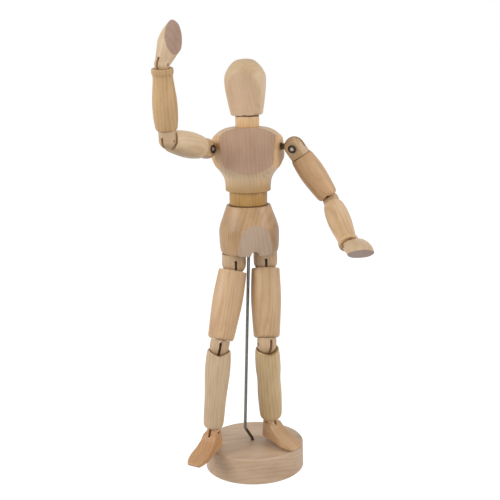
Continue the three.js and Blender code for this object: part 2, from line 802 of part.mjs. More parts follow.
function addLeg(side, sign, pelvisFrame) {
  const pose = limbPose[side];
  const [hipTurn, hipBend, hipCant] = pose.hip;
  const hip = frame(`${side}_leg_turn`, pelvisFrame, [sign * hipSpread, 0, 0], [0, 0, hipTurn]);
  const hipShoulder = pelvisBottom - hipHeight - touchGap;
  part(`${side}_hip_dowel`, dowel(hipBall, hipShoulder, hipSpigotRadius, hipTongueHalf, legPinRadius), wood, hip);
  part(`${side}_hip_pin`, jointPin(hipBall, legPinRadius), darkSteel, hip);
  const swing = frame(`${side}_hip_swing`, hip, [0, 0, 0], [hipBend, 0, 0]);
  part(`${side}_hip_tongue`, tongue(hipTongueHalf, hipBall + cupGap + tongueSeat, legPinRadius), steel, swing);
  const upper = frame(`${side}_thigh_cant`, swing, [0, 0, 0], [0, hipCant, 0]);
  part(`${side}_thigh`, thigh(hipCant), wood, upper);
  const [kneeTurn, kneeBend, kneeCant] = pose.knee;
  const knee = frame(`${side}_knee_turn`, upper, [0, 0, -thighLength], [0, 0, kneeTurn]);
  part(`${side}_knee_dowel`, dowel(kneeBall, kneeShoulder, kneeSpigotRadius, kneeTongueHalf, legPinRadius),
    wood, knee);
  part(`${side}_knee_pin`, jointPin(kneeBall, legPinRadius), darkSteel, knee);
  const flex = frame(`${side}_knee_bend`, knee, [0, 0, 0], [kneeBend, 0, 0]);
  part(`${side}_knee_tongue`, tongue(kneeTongueHalf, kneeBall + cupGap + tongueSeat, legPinRadius), steel, flex);
  const lower = frame(`${side}_shin_cant`, flex, [0, 0, 0], [0, kneeCant, 0]);
  part(`${side}_shin`, shin(kneeCant, shinLowRadius[side]), wood, lower);
  const [ankleTurn, ankleBend, ankleCant] = pose.ankle;
  const ankle = frame(`${side}_ankle_turn`, lower, [0, 0, -shinLength], [0, 0, ankleTurn]);
  part(`${side}_ankle_tongue`, ankleTongue(), steel, ankle);
  const sole = frame(`${side}_ankle_bend`, ankle, [0, 0, 0], [ankleBend, 0, 0]);
  part(`${side}_foot`, foot(ankleCant), paleWood, sole);
  part(`${side}_ankle_pin`, jointPin(ankleBall, anklePinRadius), darkSteel, sole);
}

const group = new THREE.Group();
part('base_disc', baseDisc(), baseWood, group);
part('support_rod', supportRod(), steel, group);

const pelvisFrame = frame('pelvis_frame', group, [pelvisX, 0, hipHeight], [0, 0, pelvisTurn]);
part('pelvis', pelvis(), wood, pelvisFrame);
part('pelvis_pin', trunkPin(19, 12).translate(0, 0, pelvisPinHeight()), darkSteel, pelvisFrame);

const chestFrame = frame('chest_frame', group, [pelvisX, 0, waistLow], [0, chestLean, 0]);
const waistHeight = waistHigh - waistLow;
part('waist_piece', barrel(waistRadius, waistDome, waistHeight, waistSpringRadius + 0.5, 28), wood, chestFrame);
part('waist_spring', cylinder(waistSpringRadius, -waistSpringReach, waistHeight + waistSpringReach),
  steel, chestFrame);
part('chest', chest(), wood, chestFrame);
part('chest_pin', trunkPin(17.5, 12).translate(0, 0, waistHeight + waistSpringReach + trunkPinRadius + touchGap),
  darkSteel, chestFrame);
part('shoulder_spring', alongX(cylinder(shoulderSpringRadius, -15.6, 15.6))
  .translate(0, shoulderSpringY, shoulderHeight - waistLow), steel, chestFrame);

const neckHeight = neckHigh - neckLow;
const neckFrame = frame('neck_frame', chestFrame, [0, 0, neckLow - waistLow]);
part('neck', barrel(neckRadius, neckDome, neckHeight, neckSpringRadius + 0.5, 24), wood, neckFrame);
part('neck_spring', cylinder(neckSpringRadius, -neckSpringReach - 3, neckHeight + neckSpringReach),
  steel, neckFrame);
const headFrame = frame('head_frame', neckFrame, [0, 0, neckHeight], [0, headLean, headTurn]);
part('head', head().translate(0, 0, neckSink), paleWood, headFrame);
part('head_pin', trunkPin(11, 5.5).translate(0, 0, neckSpringReach + trunkPinRadius + touchGap),
  darkSteel, headFrame);

for (const [side, sign] of [['right', -1], ['left', 1]]) {
  addArm(side, sign, chestFrame);
  addLeg(side, sign, pelvisFrame);
}

export default group;
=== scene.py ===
import math

import bpy
from mathutils import Matrix, Vector


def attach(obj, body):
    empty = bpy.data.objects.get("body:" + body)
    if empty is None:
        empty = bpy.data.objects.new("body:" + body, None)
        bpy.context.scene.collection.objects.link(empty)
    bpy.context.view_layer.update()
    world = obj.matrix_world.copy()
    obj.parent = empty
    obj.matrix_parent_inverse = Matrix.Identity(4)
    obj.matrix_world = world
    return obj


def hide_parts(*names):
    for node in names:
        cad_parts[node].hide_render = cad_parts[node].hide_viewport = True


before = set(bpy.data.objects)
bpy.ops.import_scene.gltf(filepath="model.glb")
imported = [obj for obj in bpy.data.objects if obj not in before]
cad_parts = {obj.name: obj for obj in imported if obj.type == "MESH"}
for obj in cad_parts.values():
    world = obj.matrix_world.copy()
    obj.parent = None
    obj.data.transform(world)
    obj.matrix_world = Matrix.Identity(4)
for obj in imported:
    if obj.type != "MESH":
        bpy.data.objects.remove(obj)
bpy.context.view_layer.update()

# Camera and light. The figure is seen from the front and a little above, in soft
# light from both sides of the camera, in front of a white wall.

camera_place = Vector((0, -0.7244, 0.3278))
camera_down = math.radians(12.12)
camera_roll = math.radians(-1.32)
picture_width = 500
focal_pixels = 985.3

camera_data = bpy.data.cameras.new("Camera")
camera_data.sensor_width = 36
camera_data.lens = camera_data.sensor_width * focal_pixels / picture_width
camera_data.clip_start = 0.01
camera = bpy.data.objects.new("Camera", camera_data)
camera.matrix_world = (
    Matrix.Translation(camera_place)
    @ Matrix.Rotation(math.pi / 2 - camera_down, 4, "X")
    @ Matrix.Rotation(camera_roll, 4, "Z")
)
bpy.context.scene.collection.objects.link(camera)
bpy.context.scene.camera = camera
bpy.context.scene.view_settings.view_transform = "Standard"

figure_middle = Vector((0, 0, 0.17))


def soft_box(name, place, size, watts):
    lamp = bpy.data.lights.new(name, "AREA")
    lamp.shape = "DISK"
    lamp.size = size
    lamp.energy = watts
    holder = bpy.data.objects.new(name, lamp)
    holder.location = place
    aim = figure_middle - Vector(place)
    holder.rotation_euler = aim.to_track_quat("-Z", "Y").to_euler()
    bpy.context.scene.collection.objects.link(holder)


soft_box("Left lamp", (-1.4, -0.55, 0.85), 0.8, 12)
soft_box("Right lamp", (1.4, -0.45, 0.75), 0.8, 10)
soft_box("Front lamp", (0, -1.5, 0.25), 0.8, 5)


def seen_directly(nodes):
    """1 for what the camera sees straight, in a polished surface, or through glass."""
    path = nodes.new("ShaderNodeLightPath")
    total = path.outputs["Is Camera Ray"]
    for output in ("Is Glossy Ray", "Is Transmission Ray"):
        largest = nodes.new("ShaderNodeMath")
        largest.operation = "MAXIMUM"
        nodes.id_data.links.new(total, largest.inputs[0])
        nodes.id_data.links.new(path.outputs[output], largest.inputs[1])
        total = largest.outputs[0]
    return total


wall_light = 0.42
world = bpy.data.worlds.new("White room")
bpy.context.scene.world = world
world.use_nodes = True
world_nodes = world.node_tree.nodes
background = world_nodes["Background"]
background.inputs["Color"].default_value = (1, 1, 1, 1)
wall_level = world_nodes.new("ShaderNodeMapRange")
wall_level.inputs["To Min"].default_value = wall_light
wall_level.inputs["To Max"].default_value = 1
world.node_tree.links.new(seen_directly(world_nodes), wall_level.inputs["Value"])
world.node_tree.links.new(wall_level.outputs["Result"], background.inputs["Strength"])

# The base is a thick disc turned from a pale board. Its grain runs from side to side,
# its top edge is eased with paper, and a blind hole near the middle takes the rod.

millimetre = 0.001


def place_of(x=0, y=0, z=0, turn=0, bend=0, cant=0):
    """A frame moved in millimetres, then turned about Z, bent about X and canted about Y in degrees."""
    return (
        Matrix.Translation((x, y, z))
        @ Matrix.Rotation(math.radians(turn), 4, "Z")
        @ Matrix.Rotation(math.radians(bend), 4, "X")
        @ Matrix.Rotation(math.radians(cant), 4, "Y")
    )


def edge_arc(radius, height, start, stop, across=0, steps=8):
    """Outline points on a circle whose centre is at a height and a distance from the axis."""
    angles = [math.radians(start + (stop - start) * i / steps) for i in range(steps + 1)]
    return [(abs(across + radius * math.cos(a)), height + radius * math.sin(a)) for a in angles]


def turned(name, outline, sides=72):
    """Draws half of the outline upwards beside the axis, and spins it about the axis."""
    bpy.ops.object.select_all(action="DESELECT")
    bpy.ops.mesh.primitive_plane_add(size=1)
    piece = bpy.context.object
    piece.name = name
    bpy.ops.object.mode_set(mode="EDIT")
    bpy.ops.mesh.merge(type="CENTER")
    here = Vector((0, 0, 0))
    for number, (radius, height) in enumerate(outline):
        there = Vector((radius, 0, height))
        if number == 0:
            bpy.ops.transform.translate(value=there)
        elif (there - here).length > 1e-4:
            bpy.ops.mesh.extrude_vertices_move(TRANSFORM_OT_translate={"value": there - here})
        here = there
    bpy.ops.mesh.select_all(action="SELECT")
    bpy.ops.mesh.spin(steps=sides, angle=2 * math.pi, center=(0, 0, 0), axis=(0, 0, 1))
    bpy.ops.mesh.select_all(action="SELECT")
    bpy.ops.mesh.remove_doubles(threshold=0.002)
    bpy.ops.mesh.normals_make_consistent(inside=False)
    bpy.ops.object.mode_set(mode="OBJECT")
    return piece


def rod_shape(radius, bottom, top, axis="Z", sides=48):
    """A round bar along an axis, to cut with or to add."""
    bpy.ops.object.select_all(action="DESELECT")
    bpy.ops.mesh.primitive_cylinder_add(vertices=sides, radius=radius, depth=top - bottom)
    bar = bpy.context.object
    bar.data.transform(Matrix.Translation((0, 0, (top + bottom) / 2)))
    if axis != "Z":
        bar.data.transform(Matrix.Rotation(math.pi / 2, 4, "Y" if axis == "X" else "X"))
    return bar


def moved(piece, matrix):
    piece.data.transform(matrix)
    return piece


def carved(piece, *tools, operation="DIFFERENCE"):
    """Cuts each tool out of the piece, or joins it on, and puts the tool away."""
    bpy.ops.object.select_all(action="DESELECT")
    piece.select_set(True)
    bpy.context.view_layer.objects.active = piece
    for tool in tools:
        step = piece.modifiers.new("Carve", "BOOLEAN")
        step.operation = operation
        step.solver = "EXACT"
        step.object = tool
        bpy.ops.object.modifier_apply(modifier=step.name)
        bpy.data.objects.remove(tool)
    return piece


def finished(piece, place, materials, body, node):
    """Shades the piece, moves its mesh to its place in metres, and hands it to its body."""
    bpy.ops.object.select_all(action="DESELECT")
    piece.select_set(True)
    bpy.context.view_layer.objects.active = piece
    bpy.ops.object.shade_smooth_by_angle(angle=math.radians(24))
    marks = [face.material_index for face in piece.data.polygons]
    piece.data.materials.clear()
    for finish in materials:
        piece.data.materials.append(finish)
    for face, mark in zip(piece.data.polygons, marks):
        face.material_index = min(mark, len(materials) - 1)
    piece.data.transform(Matrix.Scale(millimetre, 4) @ place)
    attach(piece, body)
    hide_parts(node)
    return piece


def colour(code):
    """A colour written as six hex digits, in the linear values that a shader takes."""
    levels = [int(code[i : i + 2], 16) / 255 for i in (0, 2, 4)]
    return (*(((v + 0.055) / 1.055) ** 2.4 if v > 0.04045 else v / 12.92 for v in levels), 1)


def socket_of(group, name, kind, value=None, way="INPUT"):
    socket = group.interface.new_socket(name=name, in_out=way, socket_type=kind)
    if value is not None:
        socket.default_value = value
    return socket


def feed(tree, socket, value):
    """Links a socket to another node's output, or gives it a plain value."""
    if isinstance(value, bpy.types.NodeSocket):
        tree.links.new(value, socket)
    else:
        socket.default_value = value


def add_math(tree, operation, first, second, clamp=False):
    node = tree.nodes.new("ShaderNodeMath")
    node.operation = operation
    node.use_clamp = clamp
    feed(tree, node.inputs[0], first)
    feed(tree, node.inputs[1], second)
    return node.outputs[0]


def add_blend(tree, amount, first, second):
    """The first colour where the amount is 0, the second where it is 1."""
    node = tree.nodes.new("ShaderNodeMix")
    node.data_type = "RGBA"
    feed(tree, node.inputs["Factor"], amount)
    feed(tree, node.inputs[6], first)
    feed(tree, node.inputs[7], second)
    return node.outputs[2]


def add_height_ramp(tree, place, none_at, full_at):
    """Rises from 0 at one height to 1 at the other."""
    apart = tree.nodes.new("ShaderNodeSeparateXYZ")
    tree.links.new(place, apart.inputs[0])
    ramp = tree.nodes.new("ShaderNodeMapRange")
    ramp.inputs["From Min"].default_value = none_at
    ramp.inputs["From Max"].default_value = full_at
    tree.links.new(apart.outputs["Z"], ramp.inputs["Value"])
    return ramp


def add_noise(tree, place, stretch, scale, detail):
    shrink = tree.nodes.new("ShaderNodeVectorMath")
    shrink.operation = "MULTIPLY"
    shrink.inputs[1].default_value = stretch
    tree.links.new(place, shrink.inputs[0])
    noise = tree.nodes.new("ShaderNodeTexNoise")
    noise.inputs["Scale"].default_value = scale
    noise.inputs["Detail"].default_value = detail
    tree.links.new(shrink.outputs[0], noise.inputs["Vector"])
    return noise.outputs["Fac"]


def make_grain():
    """Growth rings about a far pith, fine fibres, slow changes of tone, and darker end grain."""
    group = bpy.data.node_groups.new("Wood grain", "ShaderNodeTree")
    socket_of(group, "Place", "NodeSocketVector")
    socket_of(group, "Pale", "NodeSocketColor", (0.6, 0.45, 0.3, 1))
    socket_of(group, "Deep", "NodeSocketColor", (0.4, 0.27, 0.15, 1))
    socket_of(group, "Pith", "NodeSocketVector")
    socket_of(group, "Ring gap", "NodeSocketFloat", 2.4)
    socket_of(group, "Rings", "NodeSocketFloat", 0.5)
    socket_of(group, "End", "NodeSocketFloat", 0)
    socket_of(group, "Stain", "NodeSocketFloat", 0)
    socket_of(group, "Stain color", "NodeSocketColor", (0.4, 0.25, 0.08, 1))
    socket_of(group, "Color", "NodeSocketColor", way="OUTPUT")
    socket_of(group, "Roughness", "NodeSocketFloat", way="OUTPUT")
    socket_of(group, "Height", "NodeSocketFloat", way="OUTPUT")
    given = group.nodes.new("NodeGroupInput").outputs
    result = group.nodes.new("NodeGroupOutput").inputs

    wander = add_noise(group, given["Place"], (1, 1, 0.22), 0.055, 2)
    from_pith = group.nodes.new("ShaderNodeVectorMath")
    from_pith.operation = "ADD"
    group.links.new(given["Place"], from_pith.inputs[0])
    group.links.new(given["Pith"], from_pith.inputs[1])
    flat = group.nodes.new("ShaderNodeVectorMath")
    flat.operation = "MULTIPLY"
    flat.inputs[1].default_value = (1, 1, 0.04)
    group.links.new(from_pith.outputs[0], flat.inputs[0])
    reach = group.nodes.new("ShaderNodeVectorMath")
    reach.operation = "LENGTH"
    group.links.new(flat.outputs[0], reach.inputs[0])
    bent = add_math(group, "ADD", reach.outputs["Value"], add_math(group, "MULTIPLY", wander, 9.0))
    phase = add_math(group, "DIVIDE", bent, given["Ring gap"])
    wave = add_math(group, "SINE", add_math(group, "MULTIPLY", phase, 2 * math.pi), 0)
    level = add_math(group, "ADD", add_math(group, "MULTIPLY", wave, 0.5), 0.5)
    ring = add_math(group, "POWER", level, 2.2)

    fibre = add_noise(group, given["Place"], (1, 1, 0.045), 2.6, 3)
    tone = add_noise(group, given["Place"], (1, 1, 0.35), 0.09, 2)
    ring_part = add_math(group, "MULTIPLY", ring, given["Rings"])
    fibre_part = add_math(group, "MULTIPLY", add_math(group, "SUBTRACT", fibre, 0.5), 0.9)
    tone_part = add_math(group, "MULTIPLY", add_math(group, "SUBTRACT", tone, 0.45), 1.7)
    end_part = add_math(group, "MULTIPLY", add_math(group, "POWER", given["End"], 5.0), 0.55)
    depth = add_math(group, "ADD", add_math(group, "ADD", ring_part, fibre_part), tone_part)
    depth = add_math(group, "ADD", depth, end_part, clamp=True)
    grained = add_blend(group, depth, given["Pale"], given["Deep"])
    soaked = add_blend(group, given["Stain"], grained, given["Stain color"])
    group.links.new(soaked, result["Color"])
    rough = add_math(group, "ADD", add_math(group, "MULTIPLY", fibre, 0.18), 0.4)
    group.links.new(rough, result["Roughness"])
    height = add_math(group, "ADD", add_math(group, "MULTIPLY", ring, 0.25), fibre)
    group.links.new(height, result["Height"])
    return group


wood_grain = make_grain()
stain_ochre = "AA8045"
stain_strength = 0.8


def wood(name, place, pale, deep, pith, rings=0.35, gap=2.4, varnish=0.12, stain_span=None):
    """Satin wood whose grain runs along the piece's own Z axis, stained between two heights if given."""
    finish = bpy.data.materials.new(name)
    finish.use_nodes = True
    tree = finish.node_tree
    shader = tree.nodes["Principled BSDF"]
    inside = place.inverted()
    coordinates = tree.nodes.new("ShaderNodeTexCoord")
    mapping = tree.nodes.new("ShaderNodeMapping")
    mapping.inputs["Location"].default_value = inside.translation
    mapping.inputs["Rotation"].default_value = inside.to_euler()
    mapping.inputs["Scale"].default_value = (1 / millimetre,) * 3
    tree.links.new(coordinates.outputs["Object"], mapping.inputs["Vector"])
    grain = tree.nodes.new("ShaderNodeGroup")
    grain.node_tree = wood_grain
    tree.links.new(mapping.outputs["Vector"], grain.inputs["Place"])
    grain.inputs["Pale"].default_value = colour(pale)
    grain.inputs["Deep"].default_value = colour(deep)
    grain.inputs["Pith"].default_value = (*pith, 0)
    grain.inputs["Ring gap"].default_value = gap
    grain.inputs["Rings"].default_value = rings
    along = tree.nodes.new("ShaderNodeVectorMath")
    along.operation = "DOT_PRODUCT"
    along.inputs[1].default_value = place.to_3x3() @ Vector((0, 0, 1))
    tree.links.new(coordinates.outputs["Normal"], along.inputs[0])
    end = add_math(tree, "ABSOLUTE", along.outputs["Value"], 0)
    tree.links.new(end, grain.inputs["End"])
    if stain_span is not None:
        stain = add_height_ramp(tree, mapping.outputs["Vector"], *stain_span)
        stain.inputs["To Max"].default_value = stain_strength
        tree.links.new(stain.outputs["Result"], grain.inputs["Stain"])
        grain.inputs["Stain color"].default_value = colour(stain_ochre)
    bump = tree.nodes.new("ShaderNodeBump")
    bump.inputs["Strength"].default_value = 0.25
    bump.inputs["Distance"].default_value = 0.00008
    tree.links.new(grain.outputs["Height"], bump.inputs["Height"])
    tree.links.new(grain.outputs["Color"], shader.inputs["Base Color"])
    tree.links.new(grain.outputs["Roughness"], shader.inputs["Roughness"])
    tree.links.new(bump.outputs["Normal"], shader.inputs["Normal"])
    shader.inputs["Coat Weight"].default_value = varnish
    shader.inputs["Coat Roughness"].default_value = 0.35
    return finish


base_radius = 38
base_height = 20
base_edge = 1.4
base_foot_edge = 0.6
rod_radius = 1.15
rod_foot_x = -1.5
rod_seat_bottom = 6
touch_gap = 0.3

base = turned(
    "Base",
    [
        (0, 0),
        (base_radius - base_foot_edge, 0),
        (base_radius, base_foot_edge),
        *edge_arc(base_edge, base_height - base_edge, 0, 90, base_radius - base_edge),
        (0, base_height),
    ],
    sides=128,
)
rod_hole = rod_shape(rod_radius + touch_gap, rod_seat_bottom, base_height + 1)
carved(base, moved(rod_hole, place_of(rod_foot_x)))
base_grain = place_of(0, 0, base_height / 2, turn=7) @ Matrix.Rotation(math.pi / 2, 4, "Y")
base_wood = wood("Base wood", base_grain, "C9AC8E", "AF8E6F", (46, 12), rings=0.3, gap=3.4)
finished(base, Matrix.Identity(4), [base_wood], "base", "base_disc")

# The support rod is one length of steel wire. It stands in the base, leans left in a
# short bend, then runs straight up into the pelvis, where the figure hangs on its end.

rod_kink = Vector((-7, 0, 30.5))
rod_end = Vector((-0.35, 0, 186))
rod_bend = 1.6


def wire_through(name, points, radius, bend):
    """A round wire through points in millimetres, with each bend rounded."""
    path = [points[0]]
    for before, corner, after in zip(points, points[1:], points[2:]):
        start = corner + (before - corner).normalized() * bend
        stop = corner + (after - corner).normalized() * bend
        for i in range(7):
            t = i / 6
            path.append(start * (1 - t) ** 2 + corner * 2 * t * (1 - t) + stop * t**2)
    path.append(points[-1])
    line = bpy.data.curves.new(name, "CURVE")
    line.dimensions = "3D"
    line.bevel_depth = radius
    line.bevel_resolution = 5
    line.use_fill_caps = True
    spline = line.splines.new("POLY")
    spline.points.add(len(path) - 1)
    for spot, point in zip(spline.points, path):
        spot.co = (*point, 1)
    wire = bpy.data.objects.new(name, line)
    bpy.context.scene.collection.objects.link(wire)
    bpy.ops.object.select_all(action="DESELECT")
    wire.select_set(True)
    bpy.context.view_layer.objects.active = wire
    bpy.ops.object.convert(target="MESH")
    return bpy.context.object


def steel(name, bright, dull, rough, base_reflection_height=None):
    """Drawn steel, mottled by handling, and painted browner below a height in metres where one is given, as a
    reflection of the wooden base.
    """
    finish = bpy.data.materials.new(name)
    finish.use_nodes = True
    tree = finish.node_tree
    shader = tree.nodes["Principled BSDF"]
    coordinates = tree.nodes.new("ShaderNodeTexCoord")
    mottle = add_noise(tree, coordinates.outputs["Object"], (1, 1, 0.25), 900, 3)
    spread = tree.nodes.new("ShaderNodeMapRange")
    spread.inputs["From Min"].default_value = 0.3
    spread.inputs["From Max"].default_value = 0.7
    tree.links.new(mottle, spread.inputs["Value"])
    amount = spread.outputs["Result"]
    # Below the given height the colour is painted brown as a reflection of the wooden base.
    if base_reflection_height is not None:
        place = coordinates.outputs["Object"]
        below = add_height_ramp(tree, place, base_reflection_height + millimetre, base_reflection_height - millimetre)
        amount = add_math(tree, "MAXIMUM", add_math(tree, "MULTIPLY", amount, 0.45), below.outputs["Result"])
    shades = add_blend(tree, amount, colour(bright), colour(dull))
    tree.links.new(shades, shader.inputs["Base Color"])
    shade = add_math(tree, "ADD", add_math(tree, "MULTIPLY", mottle, 0.25), rough)
    tree.links.new(shade, shader.inputs["Roughness"])
    shader.inputs["Metallic"].default_value = 0.7
    return finish


rod_points = [
    Vector((rod_foot_x, 0, rod_seat_bottom + touch_gap)),
    Vector((rod_foot_x, 0, base_height + 1.5)),
    rod_kink,
    rod_end,
]
rod = wire_through("Support_rod", rod_points, rod_radius, rod_bend)
# The rod's short length just above the base is painted dark brown as a reflection of the base.
rod_steel = steel("Rod steel", "858580", "4E3F32", 0.35, base_reflection_height=0.0298)
finished(rod, Matrix.Identity(4), [rod_steel], "rod", "support_rod")

# The pelvis is turned like a bowl that narrows to the waist. A flat is sawn down its
# front, a round groove runs under it between the legs, and the waist sits in its top.

pelvis_place = place_of(-0.35, 0, 163, turn=14)
hip_spread = 12.2
hip_bore = 4.8
bore_depth = 10.3
crotch_radius = 3
crotch_rise = 0.4
pelvis_low = 8
pelvis_high = 44
waist_sink = 4.6
cup_gap = 0.45
spring_room = 7.3
trunk_pin_room = 1.15
trunk_pin_end = 12.5
pelvis_pin_height = 30.4
pelvis_pocket_low = 28
rod_bore_gap = 0.35
past_trunk = 30
waist_dome = 14.6
pin_dark = steel("Pin steel", "77716A", "3A342E", 0.3)


def flowing(points, steps=5):
    """A smooth outline through the points, with a corner wherever a point is given twice."""
    runs = [[points[0]]]
    for before, point in zip(points, points[1:]):
        if point == before:
            runs.append([point])
        else:
            runs[-1].append(point)
    outline = []
    for run in runs:
        for i in range(len(run) - 1):
            a, b, c, d = (Vector(run[min(max(k, 0), len(run) - 1)]) for k in range(i - 1, i + 3))
            parts = 1 if len(run) == 2 else steps
            for part in range(parts):
                t = part / parts
                curve = (2 * a - 5 * b + 4 * c - d) * t**2 + (3 * b - a - 3 * c + d) * t**3
                spot = b + ((c - a) * t + curve) / 2
                outline.append((max(spot.x, 0), spot.y))
    outline.append(points[-1])
    return outline


def ball_shape(radius, height=0, sides=64):
    bpy.ops.object.select_all(action="DESELECT")
    bpy.ops.mesh.primitive_uv_sphere_add(segments=sides, ring_count=sides // 2, radius=radius)
    ball = bpy.context.object
    ball.data.transform(Matrix.Translation((0, 0, height)))
    return ball


def sliced(piece, point, outward):
    """Saws the piece off at a plane and closes the cut with one flat face."""
    point, outward = Vector(point), Vector(outward).normalized()
    bpy.ops.object.select_all(action="DESELECT")
    piece.select_set(True)
    bpy.context.view_layer.objects.active = piece
    bpy.ops.object.mode_set(mode="EDIT")
    bpy.ops.mesh.select_all(action="SELECT")
    bpy.ops.mesh.bisect(plane_co=point, plane_no=outward, use_fill=True, clear_outer=True, threshold=0.001)
    bpy.ops.object.mode_set(mode="OBJECT")
    return piece


def on_plane(face, point, outward):
    outward = Vector(outward).normalized()
    return face.normal.dot(outward) > 0.999 and abs((face.center - Vector(point)).dot(outward)) < 0.05


def dressed(node, finish):
    """Gives a piece that is already right in the model its finish."""
    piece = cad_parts[node]
    piece.data.materials.clear()
    piece.data.materials.append(finish)


def slot_wall(tool, mark=2):
    """Gives the faces that a tool leaves one of the piece's finishes, by default the third one, a dark wood
    that is painted shade.
    """
    for _ in range(mark + 1):
        tool.data.materials.append(None)
    for face in tool.data.polygons:
        face.material_index = mark
    return tool


pelvis = turned(
    "Pelvis",
    flowing([
        (0, pelvis_low),
        (19.6, pelvis_low),
        (19.6, pelvis_low),
        (20.8, 8.6),
        (21.6, 10.2),
        (22.1, 13.5),
        (22.3, 18),
        (22.4, 23),
        (22.2, 26.5),
        (21.2, 30.5),
        (19.6, 35),
        (17.6, 40.5),
        (16.5, 43.6),
        (16.5, 43.6),
        (16.2, pelvis_high),
        (16.2, pelvis_high),
        (0, pelvis_high),
    ]),
    sides=96,
)
groin_point = (0, -17, pelvis_low)
groin_outward = (0, -21, -3.5)
sliced(pelvis, groin_point, groin_outward)
for face in pelvis.data.polygons:
    if on_plane(face, groin_point, groin_outward):
        face.material_index = 1
crotch = moved(rod_shape(crotch_radius, -past_trunk, past_trunk, "Y"), place_of(z=pelvis_low + crotch_rise))
hip_bores = [
    slot_wall(moved(rod_shape(hip_bore, 0, bore_depth + 1), place_of(side * hip_spread, 0, pelvis_low - 1)))
    for side in (-1, 1)
]
waist_cup = slot_wall(ball_shape(waist_dome + cup_gap, pelvis_high + waist_sink))
spring_pocket = slot_wall(rod_shape(spring_room, pelvis_pocket_low, pelvis_high))
pin_hole = rod_shape(trunk_pin_room, -past_trunk, trunk_pin_end, "Y")
pin_hole = slot_wall(moved(pin_hole, place_of(z=pelvis_pin_height)))
rod_line = rod_end - rod_kink
rod_turn = rod_line.to_track_quat("Z", "Y").to_matrix().to_4x4()
rod_bore = rod_shape(rod_radius + rod_bore_gap, -past_trunk, 1)
rod_bore = moved(rod_bore, pelvis_place.inverted() @ Matrix.Translation(rod_end) @ rod_turn)
carved(pelvis, crotch, *hip_bores, waist_cup, spring_pocket, pin_hole, slot_wall(rod_bore))
pelvis_wood = wood("Pelvis wood", pelvis_place, "BF9A70", "98714A", (30, -24), rings=0.3)
groin_wood = wood("Groin flat wood", pelvis_place, "C6AC94", "B0947D", (34, -20), rings=0.3, varnish=0.05)
# Slots, holes and cups get a dark wood that is painted shade.
slot_shade_wood = wood("Painted shade slot wood", pelvis_place, "4A3524", "3B2A1C", (20, 10), varnish=0)
finished(pelvis, pelvis_place, [pelvis_wood, groin_wood, slot_shade_wood], "hips", "pelvis")
dressed("pelvis_pin", pin_dark)

# The waist is a short barrel with a dome at each end, one in the pelvis and one in the
# chest. A hidden spring runs through it and pulls the two together. The lower dome is
# painted dark, as painted shade where it sits in the pelvis's cup.

chest_place = place_of(-0.35, 0, 211.6, cant=0.5)
waist_radius = 14.1
waist_span = 1.6
tongue_grey = steel("Tongue steel", "5F564C", "33291F", 0.32)


def domed_barrel(name, radius, dome, span, bore):
    """A barrel with spherical ends about two close centres, bored through."""
    edge = math.degrees(math.acos(radius / dome))
    mouth = math.degrees(math.acos(bore / dome))
    outline = edge_arc(dome, 0, -mouth, -edge) + edge_arc(dome, span, edge, mouth)
    return turned(name, [*outline, outline[0]])


def dome_edge(radius, dome):
    """How far a dome's edge lies from the dome's centre, along the axis."""
    return math.sqrt(dome**2 - radius**2)


waist = domed_barrel("Waist", waist_radius, waist_dome, waist_span, bore=2.9)
# The faces below the lower dome's edge take the dark finish, which is painted shade where the dome sits in
# the pelvis.
for face in waist.data.polygons:
    if face.center.z < -dome_edge(waist_radius, waist_dome):
        face.material_index = 1
# A dark, unvarnished wood that is painted shade on the domes where they sit in their cups.
dome_shade_wood = wood("Painted shade dome wood", chest_place, "6E5136", "5A412A", (20, 10), varnish=0)
waist_wood = wood("Waist wood", chest_place, "B58A48", "93692F", (26, 16), rings=0.35)
finished(waist, chest_place, [waist_wood, dome_shade_wood], "waist", "waist_piece")
dressed("waist_spring", tongue_grey)

# The chest is turned wide at the shoulders and narrow at the waist, then sawn flat in
# front, behind and on both flanks, which are slanted forward to carry the arms. The
# wood is darker and yellower at its lower rim.

chest_low = 6.2
chest_high = 52.9
front_point = (0, -20.5, chest_low + 14.2)
front_outward = (0, -28, 8.5)
flank_turn = 20
flank_angle = math.radians(flank_turn)
flank_distance = 23.4
shoulder_height = 38.5
shoulder_y = -0.99
shoulder_bore = 3
shoulder_bore_depth = 9.5
shoulder_spring_room = 3.1
shoulder_spring_half = 18
shoulder_spring_y = 1.7
chest_pocket_low = 12
chest_pocket_high = 21.9
chest_pin_height = 19.8
neck_sink = 3.7
neck_dome = 9.2
neck_spring_room = 5.9

chest = turned(
    "Chest",
    flowing([
        (0, chest_low),
        (16.5, chest_low),
        (16.5, chest_low),
        (16.8, chest_low + 0.4),
        (16.8, chest_low + 0.4),
        (16.9, chest_low + 4.2),
        (17.6, chest_low + 8.7),
        (19, chest_low + 11.8),
        (21, chest_low + 14.7),
        (23.8, chest_low + 18),
        (25.6, chest_low + 20.8),
        (27.6, chest_low + 23.4),
        (28.2, chest_low + 25.7),
        (28, chest_low + 28.7),
        (27.3, chest_low + 33.2),
        (26.5, chest_low + 37.7),
        (23.9, chest_high - 5.5),
        (20.7, chest_high - 2.9),
        (16.9, chest_high - 1.1),
        (12.7, chest_high - 0.2),
        (9.5, chest_high),
        (9.5, chest_high),
        (0, chest_high),
    ]),
    sides=96,
)
back_point = (0, -front_point[1], front_point[2])
back_outward = (0, -front_outward[1], front_outward[2])
flanks = []
for side in (-1, 1):
    outward = Vector((side * math.cos(flank_angle), -math.sin(flank_angle), 0))
    flanks.append((outward * flank_distance, outward))
sliced(chest, front_point, front_outward)
sliced(chest, back_point, back_outward)
for point, outward in flanks:
    sliced(chest, point, outward)
for face in chest.data.polygons:
    if on_plane(face, front_point, front_outward) or on_plane(face, back_point, back_outward):
        face.material_index = 1
    if any(on_plane(face, *flank) for flank in flanks):
        face.material_index = 3
